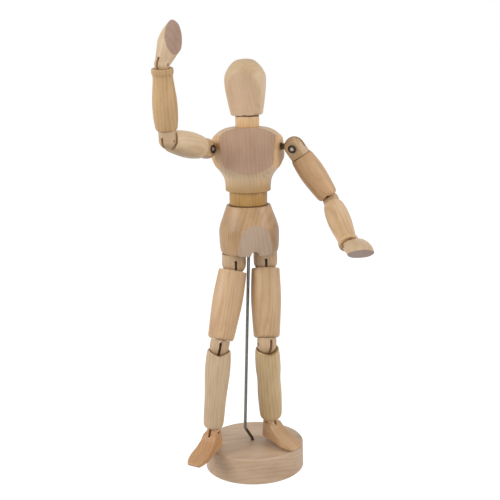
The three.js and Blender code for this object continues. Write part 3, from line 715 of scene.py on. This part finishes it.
shoulder_x = (flank_distance + math.sin(flank_angle) * shoulder_y) / math.cos(flank_angle)
shoulder_bores = []
for side in (-1, 1):
    bore = slot_wall(rod_shape(shoulder_bore, -shoulder_bore_depth, 3, "X"))
    turn = -flank_turn if side > 0 else 180 + flank_turn
    shoulder_bores.append(moved(bore, place_of(side * shoulder_x, shoulder_y, shoulder_height, turn=turn)))
shoulder_tunnel = rod_shape(shoulder_spring_room, -shoulder_spring_half, shoulder_spring_half, "X")
chest_pin_hole = rod_shape(trunk_pin_room, -past_trunk, trunk_pin_end, "Y")
carved(
    chest,
    *shoulder_bores,
    slot_wall(moved(shoulder_tunnel, place_of(y=shoulder_spring_y, z=shoulder_height))),
    slot_wall(ball_shape(waist_dome + cup_gap, waist_span)),
    slot_wall(rod_shape(spring_room, chest_pocket_low, chest_pocket_high)),
    slot_wall(moved(chest_pin_hole, place_of(z=chest_pin_height))),
    slot_wall(ball_shape(neck_dome + cup_gap, chest_high + neck_sink)),
    slot_wall(rod_shape(neck_spring_room, shoulder_height + 1, chest_high)),
)
chest_stain = (chest_low + 10.5, chest_low + 2)
chest_wood = wood("Chest wood", chest_place, "DEC29D", "BE9D77", (-30, 22), rings=0.3, stain_span=chest_stain)
chest_flat_wood = wood("Chest flat wood", chest_place, "BA987E", "A37E65", (-36, 12), rings=0.3, varnish=0.05)
flank_wood = wood("Chest flank wood", chest_place, "DDB27C", "C2935C", (-30, 22), rings=0.2, varnish=0.1)
chest_finishes = [chest_wood, chest_flat_wood, slot_shade_wood, flank_wood]
finished(chest, chest_place, chest_finishes, "torso", "chest")
dressed("chest_pin", pin_dark)
dressed("shoulder_spring", tongue_grey)

# The neck is a smaller barrel of the same kind, domed into the chest and the head, on
# a hidden spring of its own. Its upper dome is painted dark, as painted shade under the head.

neck_place = chest_place @ place_of(z=56.6)
neck_radius = 8.8
neck_span = 1.4

neck = domed_barrel("Neck", neck_radius, neck_dome, neck_span, bore=2.3)
# The faces above the upper dome's edge take the dark finish, which is painted shade under the head.
for face in neck.data.polygons:
    if face.center.z > neck_span + dome_edge(neck_radius, neck_dome):
        face.material_index = 1
neck_wood = wood("Neck wood", neck_place, "E1BA89", "C29A6A", (22, 8), rings=0.25)
finished(neck, neck_place, [neck_wood, dome_shade_wood], "neck_piece", "neck")
dressed("neck_spring", tongue_grey)

# The head is a plain egg, turned and then sawn flat for the face and both cheeks. It
# has no features. Its crown shows darker end grain.

head_place = neck_place @ place_of(z=neck_span, turn=-14, cant=-2.2)
head_low = neck_sink
head_tall = 40.4
face_point = (0, -8.7, head_low)
face_outward = (0, -26.7, -4.3)
cheek_distance = 11
cheek_slant = 0.12
head_pocket_high = 15.2
head_pin_height = 13.2
head_pin_end = 6

head = turned(
    "Head",
    flowing([
        (0, head_low),
        (11, head_low),
        (11, head_low),
        (11.4, head_low + 0.4),
        (12.2, head_low + 1.9),
        (13.3, head_low + 6.7),
        (14.6, head_low + 12.7),
        (15.5, head_low + 18.7),
        (15.6, head_low + 24.7),
        (14.8, head_low + 28.9),
        (13, head_low + 32.8),
        (10.3, head_low + 36.3),
        (7.2, head_low + 38.9),
        (3.8, head_low + 40),
        (0, head_low + head_tall),
    ]),
    sides=96,
)
sliced(head, face_point, face_outward)
cheeks = [((side * cheek_distance, 0, head_low), (side, 0, -cheek_slant)) for side in (-1, 1)]
for point, outward in cheeks:
    sliced(head, point, outward)
for face in head.data.polygons:
    if on_plane(face, face_point, face_outward) or any(on_plane(face, *cheek) for cheek in cheeks):
        face.material_index = 1
head_pin_hole = rod_shape(trunk_pin_room, -past_trunk, head_pin_end, "Y")
carved(
    head,
    slot_wall(ball_shape(neck_dome + cup_gap)),
    slot_wall(rod_shape(neck_spring_room, head_low, head_pocket_high)),
    slot_wall(moved(head_pin_hole, place_of(z=head_pin_height))),
)
head_wood = wood("Head wood", head_place, "D5B892", "B5936D", (28, -16), rings=0.22)
face_wood = wood("Face flat wood", head_place, "DABA99", "C6A383", (28, -16), rings=0.2, varnish=0.05)
finished(head, head_place, [head_wood, face_wood, slot_shade_wood], "skull", "head")
dressed("head_pin", pin_dark)

# Each leg joint is a dowel that ends in a slotted ball. A steel tongue from the next
# piece swings in the slot on a cross pin, and the ball sits in a cup in its end.

leg_pose = {
    "right": {"hip": (-4, -14.9, 14), "knee": (-2, 17.2, -7.2), "ankle": (-34.5, 12.2, -5.6)},
    "left": {"hip": (-11, -18.8, 1.4), "knee": (24, 28.1, -16.1), "ankle": (17.7, -2.6, 10.2)},
}
sign_of = {"right": -1, "left": 1}
slot_half = 0.95
slot_room = 0.8
mortise_half = 0.9
pin_gap = 0.25
hip_ball = 9
hip_shoulder = 7.7
hip_spigot = 4.5
hip_rim = 5.7
hip_tongue_half = 2.8
hip_tongue_root = 14.85
knee_ball = 7.3
ankle_ball = 4.8
knee_shoulder = 4.8
knee_spigot = 4
knee_tongue_half = 2.6
knee_tongue_root = 13.75
knee_rim = 5.7
ankle_rim = 4
shank_room = 2.3
shank_depth = 14.6
spigot_length = 10
leg_pin = 1.1
leg_cup_gap = 0.7
thigh_length = 63
shin_length = 68.5
shin_low_radius = {"right": 8.2, "left": 9.2}
dowel_colours = ("CBAC88", "A98860")
pin_plain = steel("Joint pin steel", "A88F72", "7E6850", 0.4)


def block_shape(low, high):
    low, high = Vector(low), Vector(high)
    bpy.ops.object.select_all(action="DESELECT")
    bpy.ops.mesh.primitive_cube_add(size=1)
    block = bpy.context.object
    size = high - low
    block.data.transform(Matrix.Translation((low + high) / 2) @ Matrix.Diagonal((*size, 1)))
    return block


def limb_finished(piece, place, finish, body, node):
    """Finishes a limb piece in one wood, with its slots and holes painted dark as shade."""
    finished(piece, place, [finish, finish, slot_shade_wood], body, node)


def slotted_dowel(name, ball, shoulder, spigot, tongue_half, pin):
    """A dowel with a ball end about the pin, a saw slot for the tongue, and a hole for the pin."""
    dowel = turned(
        name,
        [
            *edge_arc(ball, 0, -90, 0, steps=14),
            (ball, shoulder),
            (spigot, shoulder),
            (spigot, shoulder + spigot_length),
            (0, shoulder + spigot_length),
        ],
    )
    reach = ball + 1
    slot = block_shape((-slot_half, -reach, -reach), (slot_half, reach, tongue_half + slot_room))
    return carved(dowel, slot_wall(slot), slot_wall(rod_shape(pin + pin_gap, -reach, reach, "X")))


def tongue_room(half, start, stop, cant=0):
    """The narrow mortise that holds the root of a tongue."""
    across = half + touch_gap
    room = block_shape((-mortise_half, -across, -stop - touch_gap), (mortise_half, across, -start))
    return slot_wall(moved(room, place_of(cant=-cant)))


def groove_shape(rim, rise=20, reach=14):
    """A wedge over a rim that is lowest along Y and climbs to both sides."""
    wedge = block_shape((-reach, -reach, -rim), (reach, reach, reach))
    climb = math.tan(math.radians(rise)) * reach
    bpy.ops.object.mode_set(mode="EDIT")
    bpy.ops.mesh.select_all(action="SELECT")
    bpy.ops.mesh.bisect(plane_co=(0, 0, 0), plane_no=(1, 0, 0))
    bpy.ops.object.mode_set(mode="OBJECT")
    for vertex in wedge.data.vertices:
        if vertex.co.z < 0 and abs(vertex.co.x) > reach / 2:
            vertex.co.z += climb
    return wedge


def make_thigh(name, cant):
    low = -thigh_length + knee_shoulder + touch_gap
    thigh = turned(
        name,
        flowing([
            (0, low),
            (8.3, low),
            (8.3, low),
            (9, low + 0.5),
            (9.8, low + 2),
            (10.2, low + 7),
            (10.8, low + 17),
            (11.3, low + 27),
            (11.3, low + 35),
            (11, low + 43),
            (10.6, -hip_rim - 1),
            (10.1, -hip_rim - 0.2),
            (9.4, -hip_rim),
            (9.4, -hip_rim),
            (0, -hip_rim),
        ]),
    )
    spigot_bore = rod_shape(knee_spigot + touch_gap, low - 1, low + spigot_length + touch_gap)
    hip_cup = ball_shape(hip_ball + leg_cup_gap)
    room = tongue_room(hip_tongue_half, hip_rim, hip_tongue_root, cant)
    return carved(thigh, slot_wall(spigot_bore), slot_wall(hip_cup), room)


def make_shin(name, cant, low_radius):
    low = -shin_length + ankle_rim
    top = -3.1
    shin = turned(
        name,
        flowing([
            (0, low),
            (low_radius - 3, low),
            (low_radius - 3, low),
            (low_radius - 1.9, low + 0.3),
            (low_radius - 1.1, low + 1.3),
            (low_radius - 0.6, low + 3.6),
            (low_radius - 0.3, low + 9),
            (low_radius, low + 22),
            (8.9, low + 34),
            (9.5, low + 44),
            (9.4, low + 54),
            (8.9, top - 1.5),
            (8.5, top - 0.4),
            (8.5, top - 0.4),
            (8.2, top),
            (8.2, top),
            (0, top),
        ]),
    )
    knee_cup = ball_shape(knee_ball + leg_cup_gap)
    room = tongue_room(knee_tongue_half, knee_rim, knee_tongue_root, cant)
    ankle_cup = ball_shape(ankle_ball + cup_gap, -shin_length)
    shank_bore = rod_shape(shank_room, -shin_length, -shin_length + shank_depth)
    carved(shin, slot_wall(groove_shape(knee_rim), 0))
    return carved(shin, slot_wall(knee_cup), room, slot_wall(ankle_cup), slot_wall(shank_bore))


# The feet are wedges of pale wood, sawn to outline from above and from the side, then
# sanded round. Each has a slotted ball on top for the ankle pin and tongue.

ankle_height = 12.8
heel_back = 6.5
toe_reach = 30.5
heel_half = 6
ball_half = 7.5
foot_block_depth = 24
foot_block_width = 30
sole_cut = 0.15
ankle_dome_low = -9
ankle_pin = 0.8
ankle_tongue_half = 1.9


def outline_block(name, outline, depth):
    """An outline in X and Y, filled and drawn out along Z."""
    bpy.ops.object.select_all(action="DESELECT")
    bpy.ops.mesh.primitive_plane_add(size=1)
    block = bpy.context.object
    block.name = name
    bpy.ops.object.mode_set(mode="EDIT")
    bpy.ops.mesh.merge(type="CENTER")
    here = Vector((0, 0, 0))
    for number, point in enumerate(outline):
        there = Vector((*point, 0))
        if number == 0:
            bpy.ops.transform.translate(value=there)
        else:
            bpy.ops.mesh.extrude_vertices_move(TRANSFORM_OT_translate={"value": there - here})
        here = there
    bpy.ops.mesh.select_all(action="SELECT")
    bpy.ops.mesh.edge_face_add()
    bpy.ops.mesh.extrude_region_move(TRANSFORM_OT_translate={"value": (0, 0, depth)})
    bpy.ops.mesh.select_all(action="SELECT")
    bpy.ops.mesh.normals_make_consistent(inside=False)
    bpy.ops.object.mode_set(mode="OBJECT")
    return block


def make_foot(name, cant):
    heel = edge_arc(heel_half, heel_back - heel_half, 0, 180, steps=12)
    heel = [(x if i <= 6 else -x, y) for i, (x, y) in enumerate(heel)]
    side = [(-heel_half - 0.1, -6), (-heel_half - 0.7, -13), (-ball_half, -20), (-ball_half + 0.5, -24.5)]
    tip = [(-6.3, -27.4), (-5.4, -29.5), (-4.2, -toe_reach)]
    left = side + tip
    right = [(-x, y) for x, y in reversed(left)]
    plan = outline_block(name, heel + left + right, foot_block_depth)
    moved(plan, place_of(z=-ankle_height))
    profile = [
        (heel_back - 0.8, -ankle_height),
        (heel_back, -ankle_height + 0.8),
        (heel_back, -6.8),
        (5.6, -3.4),
        (4.7, 0.2),
        (-4.7, -0.6),
        (-8.6, -3.8),
        (-14, -6.3),
        (-20, -8.1),
        (-25, -8.9),
        (-29, -10.1),
        (-toe_reach, -11.3),
        (-toe_reach + 0.7, -ankle_height),
    ]
    wedge = outline_block("Foot side", profile, foot_block_width)
    upright = Matrix(((0, 0, 1, -foot_block_width / 2), (1, 0, 0, 0), (0, 1, 0, 0), (0, 0, 0, 1)))
    foot = carved(plan, moved(wedge, upright), operation="INTERSECT")
    dome_foot = [(0, ankle_dome_low), (ankle_ball, ankle_dome_low)]
    dome = turned("Ankle dome", dome_foot + edge_arc(ankle_ball, 0, 0, 90, steps=12), sides=48)
    carved(foot, dome, operation="UNION")
    remesh = foot.modifiers.new("Remesh", "REMESH")
    remesh.mode = "VOXEL"
    remesh.voxel_size = 0.4
    smooth = foot.modifiers.new("Sand", "SMOOTH")
    smooth.factor = 0.5
    smooth.iterations = 9
    for step in (remesh, smooth):
        bpy.ops.object.modifier_apply(modifier=step.name)
    sliced(foot, (0, 0, -ankle_height + sole_cut), (0, 0, -1))
    moved(foot, place_of(cant=cant))
    reach = ankle_ball + 1
    slot = block_shape((-slot_half, -reach, -ankle_tongue_half - slot_room), (slot_half, reach, reach))
    pin_hole = rod_shape(ankle_pin + pin_gap, -reach, reach, "X")
    return carved(foot, slot_wall(slot), slot_wall(pin_hole))


# Each leg is put together from the pelvis down: hip dowel, thigh, knee dowel, shin and
# foot, each on the joint of the piece before it, with the steel that joins them.

leg_woods = {
    "right": {"thigh": ("D4B087", "B3875C", (26, 18)), "shin": ("D0B592", "B39370", (-24, 20))},
    "left": {"thigh": ("C8A57C", "A17B50", (-22, -22)), "shin": ("CDB084", "A98A5A", (28, -10))},
}
foot_woods = {"right": ("C1966A", "AB7442", (18, 26)), "left": ("C4A078", "AB7E54", (-26, 14))}

for side, pose in leg_pose.items():
    hip_turn, hip_bend, hip_cant = pose["hip"]
    knee_turn, knee_bend, knee_cant = pose["knee"]
    ankle_turn, ankle_bend, ankle_cant = pose["ankle"]
    title = side.capitalize()
    hip_place = pelvis_place @ place_of(sign_of[side] * hip_spread, turn=hip_turn)
    thigh_place = hip_place @ place_of(bend=hip_bend, cant=hip_cant)
    knee_place = thigh_place @ place_of(z=-thigh_length, turn=knee_turn)
    shin_place = knee_place @ place_of(bend=knee_bend, cant=knee_cant)
    foot_place = shin_place @ place_of(z=-shin_length, turn=ankle_turn, bend=ankle_bend)

    hip_sizes = (hip_ball, hip_shoulder, hip_spigot, hip_tongue_half, leg_pin)
    hip_dowel = slotted_dowel(f"{title}_hip_dowel", *hip_sizes)
    hip_wood = wood(f"{title} hip wood", hip_place, *dowel_colours, (18, 12), rings=0.25)
    limb_finished(hip_dowel, hip_place, hip_wood, f"{side}_hip", f"{side}_hip_dowel")

    pale, deep, pith = leg_woods[side]["thigh"]
    thigh = make_thigh(f"{title}_thigh", hip_cant)
    thigh_wood = wood(f"{title} thigh wood", thigh_place, pale, deep, pith)
    limb_finished(thigh, thigh_place, thigh_wood, f"{side}_upper_leg", f"{side}_thigh")

    knee_sizes = (knee_ball, knee_shoulder, knee_spigot, knee_tongue_half, leg_pin)
    knee_dowel = slotted_dowel(f"{title}_knee_dowel", *knee_sizes)
    knee_wood = wood(f"{title} knee wood", knee_place, *dowel_colours, (-16, 14), rings=0.25)
    limb_finished(knee_dowel, knee_place, knee_wood, f"{side}_knee", f"{side}_knee_dowel")

    pale, deep, pith = leg_woods[side]["shin"]
    shin = make_shin(f"{title}_shin", knee_cant, shin_low_radius[side])
    shin_wood = wood(f"{title} shin wood", shin_place, pale, deep, pith)
    limb_finished(shin, shin_place, shin_wood, f"{side}_lower_leg", f"{side}_shin")

    foot = make_foot(f"{title}_foot", ankle_cant)
    pale, deep, pith = foot_woods[side]
    foot_grain = foot_place @ Matrix.Rotation(math.pi / 2, 4, "X")
    foot_wood = wood(f"{title} foot wood", foot_grain, pale, deep, pith, rings=0.3)
    limb_finished(foot, foot_place, foot_wood, f"{side}_sole", f"{side}_foot")

    for joint in ("hip", "knee", "ankle"):
        dressed(f"{side}_{joint}_pin", pin_plain)
        dressed(f"{side}_{joint}_tongue", tongue_grey)

# Each arm hangs on a steel hook that is sprung across the chest. A short steel tongue
# leads to a rivet in a slotted block, and the block's spigot carries the upper arm.

arm_pose = {
    "right": {"swing": 0, "forward": 38, "raise": 102.4, "elbow": (-86.6, -69.3), "wrist": (-177.8, 38.3)},
    "left": {"swing": 14, "forward": 0, "raise": 31.3, "elbow": (15.8, -58.7), "wrist": (-135.3, 32.8)},
}
# The second rivet finish is a pale painted highlight in the middle of each hollow.
rivet_finishes = [
    steel("Rivet steel", "51463F", "2E251F", 0.45),
    steel("Rivet eye painted highlight", "D2C2B4", "B0A092", 0.5),
]
block_radius = 7.5
block_length = 8
block_cheek = 5.5
block_spigot = 3
block_slot_low = -3.6
rivet_radius = 1.1
rivet_head = 3.1
tongue_length = 10.2
upper_arm_length = 48
forearm_length = 52
elbow_ball = 6
elbow_shoulder = 7
elbow_spigot = 3.2
elbow_tongue_half = 2.2
elbow_tongue_root = 12.45
elbow_rim = 5.4
wrist_ball = 5.2
wrist_tongue_half = 1.8
wrist_tongue_root = 11.65
wrist_rim = 2.5
arm_pin = 0.8


def make_block(name):
    block = turned(
        name,
        [
            (0, -block_length - spigot_length),
            (block_spigot, -block_length - spigot_length),
            (block_spigot, -block_length),
            (block_radius, -block_length),
            *edge_arc(block_radius, 0, 0, 90, steps=14),
        ],
    )
    reach = 12
    for cheek in (-1, 1):
        middle = cheek * (block_cheek + reach)
        beyond = block_shape((-reach, middle - reach, -block_length - 1), (reach, middle + reach, reach))
        carved(block, slot_wall(beyond, 1))
    slot = block_shape((-reach, -slot_half, block_slot_low), (reach, slot_half, reach))
    rivet_hole = rod_shape(rivet_radius + pin_gap, -reach, reach, "Y")
    return carved(block, slot_wall(slot), slot_wall(rivet_hole))


def make_rivet(name):
    """A tubular rivet: a rolled head with a hollow in its middle on each side, the middle of each hollow
    painted pale as a highlight.
    """
    inner = block_cheek + 0.3
    highlight_eye = 1.25
    half = [
        (rivet_radius, inner),
        (rivet_head, inner),
        (rivet_head, inner),
        (3.15, inner + 0.25),
        (2.8, inner + 0.6),
        (2.1, inner + 0.7),
        (1.6, inner + 0.45),
        (1.2, inner + 0.1),
        (1.2, inner + 0.1),
        (0, inner - 0.2),
    ]
    upper = flowing([(rivet_radius, 0), *half], 3)
    lower = [(radius, -height) for radius, height in reversed(upper)]
    rivet = turned(name, lower + upper[1:], sides=48)
    # The middle of each hollow takes the pale painted highlight.
    for face in rivet.data.polygons:
        if face.center.xy.length < highlight_eye:
            face.material_index = 1
    return moved(rivet, Matrix.Rotation(math.pi / 2, 4, "X"))


def make_upper_arm(name):
    top = -block_length - touch_gap
    elbow = -upper_arm_length
    rim = elbow + 3.2
    arm = turned(
        name,
        flowing([
            (0, rim),
            (6.6, rim),
            (6.6, rim),
            (7, elbow + 3.6),
            (7.8, elbow + 5.5),
            (8.6, elbow + 12),
            (9.3, elbow + 20),
            (9.4, elbow + 28),
            (8.7, top - 3.7),
            (8.2, top - 1.2),
            (7.8, top - 0.3),
            (7.4, top),
            (7.4, top),
            (0, top),
        ]),
    )
    flip = place_of(z=elbow) @ Matrix.Rotation(math.pi, 4, "X")
    carved(arm, moved(slot_wall(groove_shape(elbow_rim), 0), flip))
    cup = slot_wall(ball_shape(elbow_ball + cup_gap, elbow))
    spigot_bore = slot_wall(rod_shape(block_spigot + touch_gap, top - spigot_length, top + 1))
    room = moved(tongue_room(elbow_tongue_half, elbow_rim, elbow_tongue_root), flip)
    return carved(arm, cup, spigot_bore, room)


def make_forearm(name):
    top = -elbow_shoulder - touch_gap
    wrist = -forearm_length
    rim = wrist + wrist_rim
    forearm = turned(
        name,
        flowing([
            (0, rim),
            (6.8, rim),
            (6.8, rim),
            (7.35, rim + 0.4),
            (7.5, rim + 1.2),
            (7.5, rim + 3),
            (7.25, rim + 4),
            (6.9, rim + 5),
            (6.9, rim + 6.8),
            (7.4, rim + 12),
            (8.3, rim + 20),
            (8.6, rim + 27),
            (8.4, rim + 34),
            (7.6, top - 1.6),
            (7.1, top - 0.4),
            (6.7, top),
            (6.7, top),
            (0, top),
        ]),
    )
    flip = place_of(z=wrist) @ Matrix.Rotation(math.pi, 4, "X")
    cup = slot_wall(ball_shape(wrist_ball + cup_gap, wrist))
    spigot_bore = slot_wall(rod_shape(elbow_spigot + touch_gap, top - spigot_length, top + 1))
    room = moved(tongue_room(wrist_tongue_half, wrist_rim, wrist_tongue_root), flip)
    return carved(forearm, cup, spigot_bore, room)


# The hands are turned paddles of pale wood that end in a slotted ball for the wrist.
# The palm is sawn flat, and on each hand the cut faces its own way.

palm_turn = {"right": -75.4, "left": 8}
palm_angle = math.radians(21)
palm_tip_reach = 3.6
palm_tip_height = -34


def make_hand(name, turn):
    hand = turned(
        name,
        flowing([
            (0, -33.8),
            (2, -33.5),
            (3.8, -32.6),
            (5.2, -30.7),
            (6.8, -26.5),
            (7.9, -21.5),
            (8.4, -16.5),
            (8.1, -13.5),
            (7.1, -9.5),
            (6.1, -5),
            (5.35, -2),
            (wrist_ball, 0),
            (wrist_ball, 0),
            *edge_arc(wrist_ball, 0, 0, 90, steps=12)[1:],
        ], 3),
    )
    facing = place_of(turn=turn)
    palm_point = facing @ Vector((0, palm_tip_reach, palm_tip_height))
    palm_outward = facing @ Vector((0, -math.cos(palm_angle), -math.sin(palm_angle)))
    sliced(hand, palm_point, palm_outward)
    for face in hand.data.polygons:
        if on_plane(face, palm_point, palm_outward):
            face.material_index = 1
    reach = 7
    slot = block_shape((-slot_half, -reach, -wrist_tongue_half - slot_room), (slot_half, reach, reach))
    pin_hole = rod_shape(arm_pin + pin_gap, -reach, reach, "X")
    return carved(hand, slot_wall(slot), slot_wall(pin_hole))


# Each arm is put together from the chest outwards: block and rivet, upper arm, elbow
# dowel, forearm and hand, with the steel hooks, tongues and pins that join them.

arm_woods = {
    "right": {"arm": ("DEC39E", "C0A17C", (22, 18)), "forearm": ("CDA878", "A9814F", (-20, 16))},
    "left": {"arm": ("C9A074", "A37A4C", (18, -24)), "forearm": ("E0BE95", "BE986B", (24, 12))},
}

for side, pose in arm_pose.items():
    sign = sign_of[side]
    title = side.capitalize()
    shoulder_place = place_of(sign * shoulder_x, shoulder_y, shoulder_height, turn=-sign * flank_turn)
    hook_place = chest_place @ shoulder_place @ place_of(bend=pose["swing"])
    link_place = hook_place @ place_of(turn=-sign * pose["forward"])
    block_place = link_place @ place_of(sign * tongue_length, cant=-sign * pose["raise"])
    elbow_turn, elbow_bend = pose["elbow"]
    wrist_turn, wrist_bend = pose["wrist"]
    arm_place = block_place @ place_of(turn=elbow_turn)
    elbow_place = arm_place @ place_of(z=-upper_arm_length, bend=elbow_bend)
    forearm_place = elbow_place @ place_of(turn=wrist_turn)
    hand_place = forearm_place @ place_of(z=-forearm_length, bend=wrist_bend)

    block = make_block(f"{title}_shoulder_block")
    block_wood = wood(f"{title} block wood", block_place, "CBAA82", "A8845C", (16, 14), rings=0.3)
    cheek_wood = wood(f"{title} block cheek wood", block_place, "B5A08A", "98836C", (16, 14), varnish=0.05)
    block_finishes = [block_wood, cheek_wood, slot_shade_wood]
    finished(block, block_place, block_finishes, f"{side}_block", f"{side}_shoulder_block")
    rivet = make_rivet(f"{title}_shoulder_rivet")
    finished(rivet, block_place, rivet_finishes, f"{side}_block", f"{side}_shoulder_rivet")

    pale, deep, pith = arm_woods[side]["arm"]
    upper_arm = make_upper_arm(f"{title}_upper_arm")
    arm_wood = wood(f"{title} upper arm wood", arm_place, pale, deep, pith)
    limb_finished(upper_arm, arm_place, arm_wood, f"{side}_arm", f"{side}_upper_arm")

    elbow_sizes = (elbow_ball, elbow_shoulder, elbow_spigot, elbow_tongue_half, arm_pin)
    elbow = slotted_dowel(f"{title}_elbow_dowel", *elbow_sizes)
    moved(elbow, Matrix.Rotation(math.pi, 4, "X"))
    elbow_wood = wood(f"{title} elbow wood", elbow_place, *dowel_colours, (14, 12), rings=0.25)
    limb_finished(elbow, elbow_place, elbow_wood, f"{side}_elbow", f"{side}_elbow_dowel")

    pale, deep, pith = arm_woods[side]["forearm"]
    forearm = make_forearm(f"{title}_forearm")
    forearm_wood = wood(f"{title} forearm wood", forearm_place, pale, deep, pith)
    limb_finished(forearm, forearm_place, forearm_wood, f"{side}_lower_arm", f"{side}_forearm")

    hand = make_hand(f"{title}_hand", palm_turn[side])
    hand_wood = wood(f"{title} hand wood", hand_place, "D9BD99", "BC9B76", (20, 10), rings=0.25)
    palm_wood = wood(f"{title} palm wood", hand_place, "AC8C77", "93725D", (20, 10), rings=0.3, varnish=0.05)
    finished(hand, hand_place, [hand_wood, palm_wood, slot_shade_wood], f"{side}_palm", f"{side}_hand")

    for node in ("shoulder_hook", "shoulder_tongue", "elbow_tongue", "wrist_tongue"):
        dressed(f"{side}_{node}", tongue_grey)
    for node in ("elbow_pin", "wrist_pin"):
        dressed(f"{side}_{node}", pin_plain)

# The floor is a wide white sheet. The camera sees it as white as the wall, and it keeps
# a faint shadow under the base.

floor_grey = 0.42
floor_glow = 0.86

bpy.ops.object.select_all(action="DESELECT")
bpy.ops.mesh.primitive_plane_add(size=6, location=(0, 0, -0.0002))
floor = bpy.context.object
floor.name = "Floor"
floor_white = bpy.data.materials.new("White floor")
floor_white.use_nodes = True
floor_tree = floor_white.node_tree
floor_shader = floor_tree.nodes["Principled BSDF"]
floor_shader.inputs["Base Color"].default_value = (floor_grey, floor_grey, floor_grey, 1)
floor_shader.inputs["Roughness"].default_value = 0.9
floor_shader.inputs["Specular IOR Level"].default_value = 0
floor_shader.inputs["Emission Color"].default_value = (1, 1, 1, 1)
glow = add_math(floor_tree, "MULTIPLY", seen_directly(floor_tree.nodes), floor_glow)
floor_tree.links.new(glow, floor_shader.inputs["Emission Strength"])
floor.data.materials.append(floor_white)
